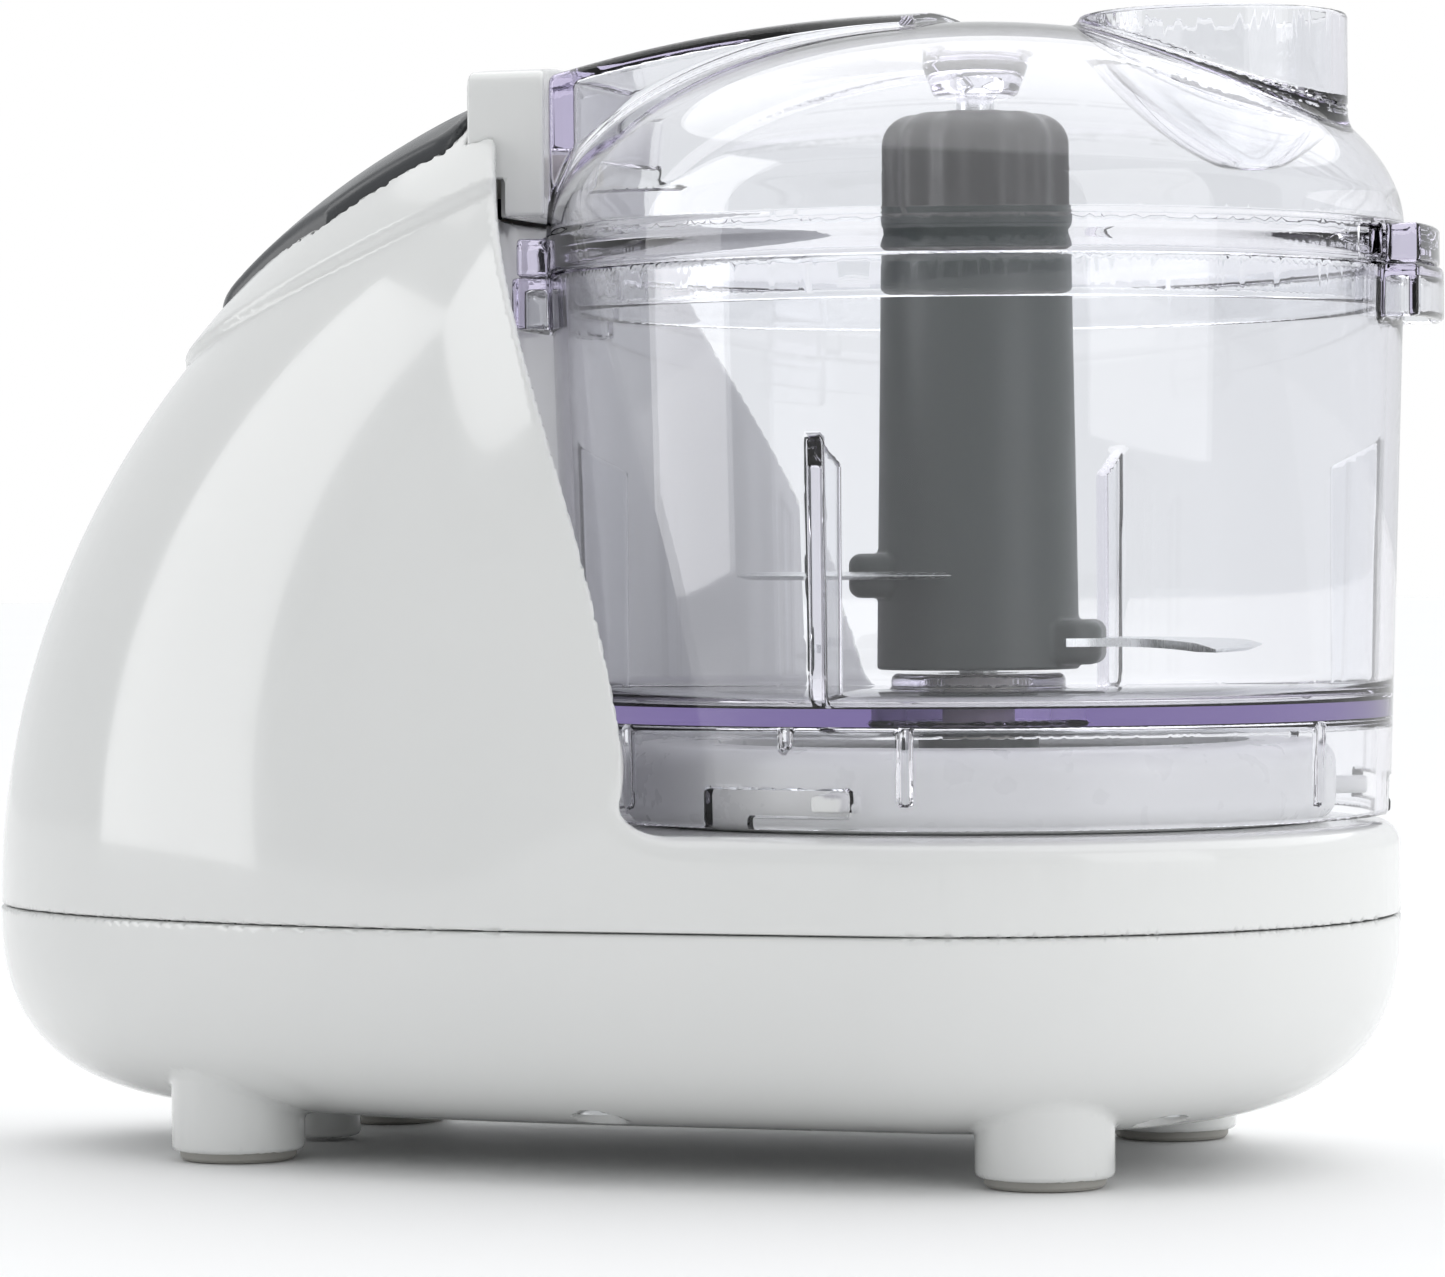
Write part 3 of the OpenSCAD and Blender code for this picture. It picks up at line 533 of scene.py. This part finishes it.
def button_plan(x, y, gap):
    """The pulse button's outline in plan, widest in its middle, grown by a gap."""
    places = (BUTTON_X - gap, BUTTON_X + 22, BUTTON_FRONT)
    half = np.interp(x, places, (BUTTON_HALF - 8.5, BUTTON_HALF, BUTTON_HALF - 1.5)) + gap
    return both(np.abs(y) - half, slab(x, BUTTON_X - gap, BUTTON_FRONT + gap), 3.5)


def button_hole(x, y, z):
    """The opening in the tower that the pulse button tips into."""
    return both(button_plan(x, y, 0.5), 100 - z)


def upper_casing(x, y, z):
    out = casing_outside(x, y, z)
    out = minus(out, out + SHELL)
    out = both(out, PARTING_Z + PARTING_GAP - z, 0.4)
    out = minus(out, button_hole(x, y, z), 0.5)
    collar = both(slab(x, COLLAR_X - 0.1, -30), np.maximum(np.abs(y) - ARM_HALF - 0.1, COLLAR_Z[0] - 0.1 - z))
    out = minus(out, collar, 0.4)
    return minus(out, both(rod(x, y, 15), slab(z, DECK_Z - 8, DECK_Z + 8)))


def body_edge(x, y, z):
    return plan_ratio(x, y, REAR_LEN, BODY_HALF, FRONT_R, 2) - 1


def tub_outside(x, y, z):
    """The tub: straight down from the parting, then rounded in to its flat underside."""

    def ratio(x, y, z):
        across = np.maximum(1 + evened(body_edge, x, y, z) / TUB_INSET, 0)
        deep = np.maximum((PARTING_Z - z) / (PARTING_Z - TUB_Z), 0)
        return (across**TUB_POWER + deep**TUB_POWER) ** (1 / TUB_POWER) - 1

    return evened(ratio, x, y, z)


def nearest(x, y, places):
    """Distance in plan to the nearest of some places."""
    return np.min([np.hypot(x - px, y - py) for px, py in places], 0)


def base_tub(x, y, z):
    out = tub_outside(x, y, z)
    cavity = both(out + SHELL, z - PARTING_Z - 5)
    edge = evened(body_edge, x, y, z)
    out = both(out, z - PARTING_Z + PARTING_GAP, 0.4)
    feet = both(nearest(x, y, FOOT_PLACES) - FOOT_R, slab(z, 1.5, 14), 0.8)
    stub = both(rod(x + 106, y, 5.75), slab(z, 0.6, 14), 1.0)
    out = either(out, both(either(feet, stub), edge + 4), 0.8)
    out = minus(out, cavity)
    tongue = both(slab(edge, -SHELL - 1.7, -SHELL - 0.2), slab(z, PARTING_Z - 6, PARTING_Z + 1.6), 0.3)
    out = either(out, tongue)
    out = minus(out, both(nearest(x, y, FOOT_PLACES) - PAD_R - 0.1, z - 2.4))
    out = minus(out, both(nearest(x, y, SCREW_PLACES) - 3.6, z - TUB_Z - 6), 0.5)
    return minus(out, both(rod(y, z - 27.5, 6.1), x + 140))


def build_body():
    casing = moulding("casing_shell", upper_casing, (-159, -64, 36), (65, 64, 164), 0.9, 0.3)
    tub = moulding("tub_shell", base_tub, (-159, -64, -0.5), (65, 64, 40), 0.9, 0.3)
    for piece, node in ((casing, "upper_casing"), (tub, "base_tub")):
        finish_piece(piece, "power_unit", WHITE, "white_shell", node)


def finish_piece(piece, body, material, slot, *nodes):
    """Gives a piece its material and body, and hides the CAD nodes that it stands for."""
    piece.data.materials.clear()
    piece.data.materials.append(material)
    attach(piece, body)
    if nodes:
        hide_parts(*nodes)
    return piece


def collar_field(x, y, z):
    crown = COLLAR_Z[1] - 2.2 * (1 - np.cos(np.radians(y / ARM_HALF * 75)))
    out = both(np.abs(y) - ARM_HALF, z - crown, 2.2)
    out = both(out, COLLAR_Z[0] - z, 0.6)
    out = both(out, COLLAR_X - x, 0.4)
    out = both(out, 64.4 - np.hypot(x, y), 0.6)
    hollow = both(both(slab(x, -80, -69), np.abs(y) - ARM_HALF + 2.2), z - COLLAR_Z[1] + 3)
    out = minus(out, hollow)
    notch = both(both(slab(x, -80, -67.6), ARM_HALF - 2.2 - np.abs(y)), z - COLLAR_Z[0] - 5.6)
    out = minus(out, notch)
    return minus(out, rod(y, z - PLUNGER_Z, 3.05))


def build_collar():
    piece = moulding("collar_moulding", collar_field, (-76, -22, 139), (-60, 22, 167), 0.5, 0.5)
    finish_piece(piece, "power_unit", WHITE, "white_shell", "lid_collar")


def seat_field(x, y, z):
    r = np.hypot(x, y)
    wall = both(r - SEAT_R, slab(z, DECK_Z + 0.02, DECK_Z + SEAT_H), 3.5)
    hollow = both(r - SEAT_R + 2.4, slab(z, DECK_Z + 2, DECK_Z + 10), 1.5)
    out = minus(wall, either(hollow, both(r - 40, DECK_Z + 2 - z), 0.8))
    boss = both(either(r - 11, both(r - 14.6, z - DECK_Z - 1)), slab(z, DECK_Z - 13, DECK_Z + 4), 0.8)
    out = either(out, boss)
    out = minus(out, r - 7)
    for direction in PIN_DIRECTIONS:
        along, across = turned(x, y, direction)
        pin = both(both(slab(along, 50, 60.2), slab(z, DECK_Z + 3.4, DECK_Z + 6)), np.abs(across) - 2.5, 0.8)
        out = either(out, pin, 0.4)
    return out


def build_seat():
    piece = moulding("seat_moulding", seat_field, (-62, -62, 36), (62, 62, 64), 0.7, 0.35)
    finish_piece(piece, "power_unit", INNER_WHITE, "white_shell", "bowl_seat")


# ---- bowl and lid ------------------------------------------------------------------------------


def bowl_r(z):
    """Outer radius of the bowl's wall."""
    return SKIRT_R + (RIM_R - SKIRT_R) * (z - SKIRT_Z) / (RIM_Z - SKIRT_Z)


def lugs(x, y, z, r, low, high, opening, edge=0.7):
    """The pair of locking lugs, out to a radius."""
    sides = np.minimum(sector(x, y, LUG_AT, opening), sector(x, y, LUG_AT + 180, opening))
    out = both(both(np.hypot(x, y) - r, slab(z, low, high), edge), sides, edge)
    return both(out, RIM_R - 1.5 - np.hypot(x, y))


def bowl_field(x, y, z):
    r = np.hypot(x, y)
    wall = r - bowl_r(z)
    top = RIM_Z - 0.05
    out = both(wall, slab(z, SKIRT_Z, top), 0.5)
    room = both(wall + CLEAR, FLOOR_Z - z, 3)
    boss = both(r - 13, z - BOSS_Z, 1)
    room = minus(room, boss, 1.5)
    for direction in RIB_DIRECTIONS:
        along, across = turned(x, y, direction)
        rib = both(both(RIB_R - along, z - RIB_TOP - 0.5 * (along - RIB_R - 3.5)), np.abs(across) - 1, 0.4)
        room = minus(room, rib, 0.6)
    under = both(wall + CLEAR, z - FLOOR_Z + 2.5, 1.5)
    pocket = both(r - 10.8, z - BOSS_Z + 2.4, 0.8)
    for direction, low in SKIRT_PINS:
        along, across = turned(x, y, direction)
        pin = both(rod(across, along - SKIRT_R + CLEAR, 0.9), low - z, 0.5)
        under = minus(under, pin, 0.3)
    out = minus(minus(minus(out, room, 0.4), under, 0.4), either(pocket, r - 5.4), 0.3)
    out = either(out, lugs(x, y, z, LUG_R, RIM_Z - 7.8, top, LUG_SPAN), 0.8)
    pockets = lugs(x, y, z, LUG_R - 1.8, RIM_Z - 9, RIM_Z - 1.8, LUG_SPAN - 3.4, 0.5)
    out = minus(out, both(pockets, bowl_r(z) + 0.3 - r), 0.3)
    for direction in PIN_DIRECTIONS:
        track = both(sector(x, y, direction - 7.5, 22), slab(z, DECK_Z + 3, DECK_Z + 6.6), 0.5)
        leave = both(sector(x, y, direction - 15, 7), z - DECK_Z - 6.6, 0.5)
        out = minus(out, both(either(track, leave), 52 - r), 0.3)
    return out


def dome(r, z, inset):
    """A flattened half ball above the lid's band."""
    a, b, up = RIM_R - inset, DOME_H - inset, np.maximum(z - BAND_Z, 0)
    k = np.sqrt((r / a) ** 2 + (up / b) ** 2)
    slope = np.sqrt((r / a**2) ** 2 + (up / b**2) ** 2)
    return k * (k - 1) / np.maximum(slope, 1e-4)


def arm_top(x):
    """Height of the arm's top along its length."""
    t = np.clip((x + 64.6) / 60.6, 0, 1)
    return ARM_LOW + (ARM_HIGH - ARM_LOW) * t * (2 - t) + 0.8 * t * (1 - t)


def arm_field(x, y, z, inset):
    r = np.hypot(x, y)
    top = z - arm_top(x) + inset + 1.8 * (y / ARM_HALF) ** 2
    out = both(np.abs(y) - ARM_HALF + inset, top, max(0.4, 2.0 - inset))
    out = both(out, np.maximum(x + 4 + inset, BAND_Z - 1 + (2 if inset else 0) - z))
    return both(out, r - ARM_END_R + 2 * inset, 0.8)


def well_top(x):
    """Height at which the oil well leaves the dome, which falls away under the chute."""
    return 165.5 - 0.31 * (x - CHUTE_X + CHUTE_R)


def well_ratio(x, y, z):
    """Round sections that shift and shrink from the dome down to the drip hole."""
    up = np.clip((z - WELL_Z) / (well_top(x) - WELL_Z), 0, 1.4)
    well_x = CHUTE_X + WELL_SHIFT * (1 - np.minimum(up, 1))
    return np.hypot(x - well_x, y) - DRIP_R - (CHUTE_R - DRIP_R) * up**0.8


def chute_fields(x, y, z):
    """The feed chute as a solid and its inside, down to the drip hole of the well."""
    r = rod(x - CHUTE_X, y, 0)
    cone = evened(well_ratio, x, y, z)
    solid = both(r - CHUTE_R, np.maximum(well_top(x) - 1 - z, z - CHUTE_Z - 0.02), 0.7)
    solid = either(solid, both(cone, slab(z, WELL_Z, well_top(x)), 0.6))
    inside = both(r - CHUTE_R + CHUTE_WALL, well_top(x) + 0.5 - z, 0.6)
    return solid, either(inside, both(cone + CHUTE_WALL - 0.3, z - well_top(x) - 2), 0.8)


def lid_outside(x, y, z):
    r = np.hypot(x, y)
    shell = both(dome(r, z, 0), BAND_Z - 2.5 - z)
    band = both(r - RIM_R - 0.4, slab(z, RIM_Z + 0.1, BAND_Z), 0.8)
    lip = both(r - RIM_R + CLEAR + 0.35, slab(z, RIM_Z - 6, BAND_Z), 0.8)
    out = either(either(shell, band, 0.5), lip, 0.3)
    out = either(out, arm_field(x, y, z, 0), 2.0)
    return either(out, lugs(x, y, z, LUG_R - 0.6, RIM_Z + 0.1, BAND_Z - 0.3, LUG_SPAN - 4), 0.6)


def lid_field(x, y, z):
    r = np.hypot(x, y)
    out = lid_outside(x, y, z)
    solid, inside = chute_fields(x, y, z)
    out = either(out, solid, 1.2)
    throat = r - RIM_R + DOME_WALL + 2.3 * smooth((BAND_Z - 0.5 - z) / 5)
    hollow = both(dome(r, np.maximum(z, BAND_Z), DOME_WALL), throat, 1.0)
    hollow = either(hollow, arm_field(x, y, z, DOME_WALL), 1.2)
    hollow = minus(hollow, solid, 1.2)
    socket = both(r - SOCKET_R - 0.35 * np.clip(z - SOCKET_Z, 0, 5), SOCKET_Z - z, 0.8)
    hollow = minus(hollow, socket, 1.2)
    out = minus(out, hollow, 0.3)
    out = minus(out, inside, 0.5)
    out = minus(out, both(rod(x - CHUTE_X - WELL_SHIFT, y, 1.6), z - 152), 0.3)
    out = minus(out, both(r - 2.95, z - 163), 0.3)
    slot = both(both(slab(x, -70, -56), slab(y, -4, 26)), slab(z, PLUNGER_Z - 3.8, PLUNGER_Z + 3.8), 0.8)
    out = minus(out, both(slot, ARM_END_R - 3 - r, 0.6), 0.5)
    for side in (0, 180):
        window = both(sector(x, y, LUG_AT + side - 17, 7), slab(z, RIM_Z + 1, BAND_Z - 0.9), 0.6)
        out = minus(out, both(window, RIM_R - 1.4 - r, 0.5), 0.4)
    return out


def build_clear():
    bowl = moulding("bowl_clear", bowl_field, (-71, -65, 50.5), (71, 65, 132.5), 0.8, 0.4)
    finish_piece(bowl, "bowl", CLEAR_PLASTIC, "clear_plastic", "bowl")
    lid = moulding("lid_clear", lid_field, (-71, -65, 124.5), (71, 65, 172), 0.6, 0.35)
    finish_piece(lid, "lid", CLEAR_PLASTIC, "clear_plastic", "lid")


# ---- hub, blades and spindle -------------------------------------------------------------------

HUB_Z, HUB_R = 73, 15.1
GRIP_Z, GRIP_R = 135, 14.3
HUB_TOP = 156.5
UPPER_BLADE = (198.5, 87)  # its direction and height
LOWER_BLADE = (18.5, 77)


def hub_field(x, y, z):
    r = np.hypot(x, y)
    body = r - HUB_R + 0.9 * np.clip((z - HUB_Z) / 61, 0, 1)
    out = both(body, slab(z, HUB_Z, GRIP_Z), 0.5)
    angle = np.arctan2(y, x)
    lobes = 0.45 * (1 - np.cos(12 * angle)) * smooth((z - GRIP_Z) / 4) * np.clip(r / 10, 0, 1)
    grip = both(r - GRIP_R + lobes, slab(z, GRIP_Z - 3, HUB_TOP), 5)
    out = either(out, grip, 0.4)
    for turn, level in (UPPER_BLADE, LOWER_BLADE):
        along, across = turned(x, y, turn - 8)
        boss = both(both(slab(along, 5, 18.8), np.abs(across) - 9.5, 5), np.abs(z - level) - 3.3, 1.8)
        out = either(out, boss, 0.6)
    pocket = both(both(r - 11.8, 5.0 - r), z - HUB_TOP + 6)
    out = minus(out, both(pocket, HUB_Z - 5 - z))
    return minus(out, r - 2.9)


def curve(a, b, c, t):
    """A point on a curve with three control points."""
    a, b, c = np.array(a, float), np.array(b, float), np.array(c, float)
    return (1 - t) ** 2 * a + 2 * t * (1 - t) * b + t * t * c


def blade(name, node, turn, level, bow, droop):
    """A sickle blade with a broad root, ground to a thin edge along its curved outer side."""
    rows = 40
    tip = (0.535 * bow, -35)
    c, s = math.cos(math.radians(turn)), math.sin(math.radians(turn))
    section = [(0.0, 0.05), (0.12, 0.5), (0.3, 0.62), (1.0, 0.62), (1.0, -0.62), (0.3, -0.62), (0.12, -0.5),
               (0.0, -0.05)]
    points, faces = [], []
    for i in range(rows + 1):
        t = i / rows
        lead = curve((4.7, 18), (bow, 14), tip, t)
        trail = curve((12.3, -13), (0.45 * bow, -6), tip, t)
        sink = droop * max(0, t - 0.2) ** 2
        thin = min(1, 0.35 + 4 * (1 - t))
        for w, h in section:
            p = lead + (trail - lead) * w
            points.append((p[0] * c - p[1] * s, p[0] * s + p[1] * c, level + h * thin - sink))
    n = len(section)
    for i in range(rows):
        for k in range(n):
            j = (k + 1) % n
            faces.append((i * n + k, (i + 1) * n + k, (i + 1) * n + j, i * n + j))
    faces.append(tuple(range(n)))
    faces.append(tuple(rows * n + k for k in reversed(range(n))))
    made = new_object(name, points, faces)
    smooth_by_angle(made, 12)
    return finish_piece(made, "blade_drive", BLADE, "blade_steel", node)


def build_blades():
    hub = moulding("hub_grip", hub_field, (-20, -20, 72), (20, 20, 158), 0.5, 0.4)
    finish_piece(hub, "blade_drive", DARK_GRIP, "dark_grip", "blade_hub")
    blade("blade_upper", "upper_blade", *UPPER_BLADE, 52, 0.0)
    blade("blade_lower", "lower_blade", *LOWER_BLADE, 60, 1.6)
    low, tip = span("blade_spindle", 2)
    profile = [(2.3, low), (2.85, low + 0.5), (2.85, tip - 1.0), (2.6, tip - 0.4), (2.0, tip - 0.05),
               (1.2, tip)]
    rod_piece = lathe("spindle_rod", profile, sides=48)
    finish_piece(rod_piece, "blade_drive", STEEL, "blade_steel", "blade_spindle")


# ---- pulse button and feet ---------------------------------------------------------------------


def button_field(x, y, z):
    """A shell that follows the tower's surface, proud of it, with lengthwise ribs."""
    run = np.clip((x - BUTTON_X) / (BUTTON_FRONT - BUTTON_X), 0, 1)
    skin = evened(lambda x, y, z: tower_ratio(x, y, z, BUTTON_RISE), x, y, z)
    for place in (-0.62, -0.22, 0.22, 0.62):
        across = y / (BUTTON_HALF - 3) - place
        skin = skin + 0.55 * np.exp(-((across / 0.05) ** 2)) * smooth(run * 6) * smooth((1 - run) * 7)
    out = both(skin, button_plan(x, y, 0), 1.3)
    out = both(out, 125.8 + 0.476 * (x - BUTTON_X + 1) - z, 0.4)
    room = both(skin + 2.4, button_plan(x, y, -2), 0.8)
    return minus(out, room)


def build_button():
    piece = moulding("button_moulding", button_field, (-120, -22, 123), (-73, 22, 166), 0.6, 0.5)
    finish_piece(piece, "pulse_button", BUTTON_GREY, "dark_grip", "pulse_button")


def build_feet():
    for i, (x, y) in enumerate(FOOT_PLACES):
        profile = [(PAD_R - 1.15, 0), (PAD_R - 0.45, 0.15), (PAD_R - 0.05, 0.6), (PAD_R, 1.2), (PAD_R, 2.2)]
        pad = lathe(f"foot_pad_{i}", profile, (x, y), 64)
        finish_piece(pad, "power_unit", PAD_RUBBER, "foot_rubber", *(["foot_pads"] if i == 0 else []))


# ---- carried-over CAD nodes --------------------------------------------------------------------


def dress_cad_nodes():
    """Gives every CAD node that still shows its own material."""
    iron = metal("motor_iron", (0.25, 0.26, 0.27), (0.38, 0.39, 0.4), (0.35, 0.5), (1, 1, 60), 800)
    copper = metal("copper_wire", (0.55, 0.25, 0.12), (0.85, 0.45, 0.25), (0.25, 0.4), (1, 1, 40), 1500)
    zinc = metal("zinc_steel", (0.5, 0.51, 0.52), (0.7, 0.71, 0.72), (0.25, 0.4), (1, 1, 8), 600)
    bronze = metal("bearing_bronze", (0.45, 0.3, 0.14), (0.62, 0.44, 0.22), (0.35, 0.5), (1, 1, 8), 700)
    black = plastic("black_plastic", (0.02, 0.02, 0.022), (0.03, 0.03, 0.033), (0.35, 0.5), 1500, 1e-5)
    belt = plastic("belt_rubber", (0.015, 0.015, 0.015), (0.03, 0.03, 0.03), (0.6, 0.75), 2500, 3e-5)
    carbon = plastic("carbon", (0.03, 0.03, 0.03), (0.05, 0.05, 0.05), (0.5, 0.7), 4000, 2e-5)
    film = plastic("yellow_film", (0.6, 0.45, 0.08), (0.7, 0.55, 0.12), (0.25, 0.4), 900, 1e-5)
    ivory = plastic("inner_plastic", (0.66, 0.64, 0.57), (0.72, 0.70, 0.64), (0.35, 0.5), 1200, 1e-5)
    grouped = {
        iron: ["stator_core", "armature_core", "lower_bracket", "upper_bracket"],
        copper: ["field_coils", "armature_windings", "commutator"],
        zinc: ["casing_screws", "motor_screws", "motor_chassis", "drive_shaft", "rotor_shaft", "button_pin",
               "button_spring"],
        bronze: ["drive_bearing", "motor_bushes", "brush_holders"],
        black: ["pulse_switch", "interlock_switch"],
        belt: ["drive_belt"],
        carbon: ["carbon_brushes"],
        film: ["suppressor_capacitor"],
        ivory: ["switch_frame", "interlock_plunger", "cooling_fan", "motor_pulley", "drive_pulley",
                "spindle_bush"],
        DARK_GRIP: ["drive_dog", "driven_dog"],
        GLAND_RUBBER: ["cord_gland"],
    }
    for material, names in grouped.items():
        for name in names:
            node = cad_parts[name]
            node.data.materials.clear()
            node.data.materials.append(material)
            smooth_by_angle(node, 30)


# ---- floor, light and camera -------------------------------------------------------------------


def studio():
    """A white floor, a tall strip softbox on the left, a weak fill on the right and a soft sky light."""
    mesh = bpy.data.meshes.new("floor")
    wide = 12
    corners = [(-wide, -wide, 0), (wide, -wide, 0), (wide, wide, 0), (-wide, wide, 0)]
    mesh.from_pydata(corners, [], [(0, 1, 2, 3)])
    floor = bpy.data.objects.new("floor", mesh)
    bpy.context.scene.collection.objects.link(floor)
    n = Nodes("floor_white")
    n.tinted(n.noise(3, 2), (0.90, 0.90, 0.90), (0.92, 0.92, 0.92))
    n.set(Roughness=0.6, IOR=1.3)
    mesh.materials.append(n.material)
    left = (-1.23, -0.55, 0.83), (-0.05, 0, 0.83), (0.66, 1.62)
    strip = softbox("strip_left", *left, 2.4)
    strip.visible_diffuse = False  # only its reflection: the wash gives that side's light
    softbox("wash_left", *left, 0.7)
    softbox("fill_right", (1.10, -0.55, 0.55), (0, 0, 0.30), (0.8, 1.0), 1.2)
    sky = bpy.data.lights.new("sky", "SUN")
    sky.energy, sky.angle = 1.45, math.radians(90)
    stand("sky", sky, (0.1, 0.45, 1.3), (0, 0, 0))


def softbox(name, place, target, size, radiance):
    """A rectangular lamp of a size and radiance."""
    data = bpy.data.lights.new(name, "AREA")
    data.shape = "RECTANGLE"
    data.size, data.size_y = size
    data.energy = radiance * math.pi * size[0] * size[1]
    return stand(name, data, place, target)


def stand(name, data, place, target):
    """Places a lamp, out of the camera's sight, aimed at a target."""
    made = bpy.data.objects.new(name, data)
    made.location = place
    made.rotation_mode = "QUATERNION"
    made.rotation_quaternion = (Vector(target) - Vector(place)).to_track_quat("-Z", "Y")
    made.visible_camera = False
    bpy.context.scene.collection.objects.link(made)
    return made


def surroundings():
    """A white backdrop, and a room that is bright behind the object and dimmer before it."""
    world = bpy.data.worlds.new("studio")
    bpy.context.scene.world = world
    world.use_nodes = True
    tree = world.node_tree
    plain = tree.nodes["Background"]
    place = tree.nodes.new("ShaderNodeTexCoord")
    parts = tree.nodes.new("ShaderNodeSeparateXYZ")
    spread = tree.nodes.new("ShaderNodeMapRange")
    spread.inputs["From Min"].default_value, spread.inputs["From Max"].default_value = -0.8, 0.6
    spread.inputs["To Min"].default_value, spread.inputs["To Max"].default_value = 0.40, 0.86
    tree.links.new(place.outputs["Generated"], parts.inputs["Vector"])
    tree.links.new(parts.outputs["Y"], spread.inputs["Value"])
    tree.links.new(spread.outputs["Result"], plain.inputs["Strength"])
    plain.inputs["Color"].default_value = (0.97, 0.985, 1.0, 1)
    seen = tree.nodes.new("ShaderNodeBackground")
    seen.inputs["Color"].default_value = (1, 1, 1, 1)
    mix = tree.nodes.new("ShaderNodeMixShader")
    path = tree.nodes.new("ShaderNodeLightPath")
    tree.links.new(path.outputs["Is Camera Ray"], mix.inputs["Fac"])
    tree.links.new(plain.outputs["Background"], mix.inputs[1])
    tree.links.new(seen.outputs["Background"], mix.inputs[2])
    tree.links.new(mix.outputs["Shader"], tree.nodes["World Output"].inputs["Surface"])
    bpy.context.scene.view_settings.view_transform = "Standard"


def camera():
    """The photograph's view: a long lens, almost level, a little to the right of square on."""
    data = bpy.data.cameras.new("camera")
    data.sensor_width, data.lens = 36, 143.57
    data.clip_start, data.clip_end = 0.05, 60
    made = bpy.data.objects.new("camera", data)
    look = Vector((-0.317, 0.948, -0.0132)).normalized()
    right = look.cross(Vector((0, 0, 1))).normalized()
    up = right.cross(look)
    roll = 0.0063
    right, up = right - roll * up, up + roll * right
    made.matrix_world = Matrix((right, up, -look)).transposed().to_4x4()
    made.location = (0.2365 + AXIS_X * MM, -0.8276, 0.0891)
    bpy.context.scene.collection.objects.link(made)
    bpy.context.scene.camera = made


build_body()
build_collar()
build_seat()
build_clear()
build_blades()
build_button()
build_feet()
dress_cad_nodes()
studio()
surroundings()
camera()
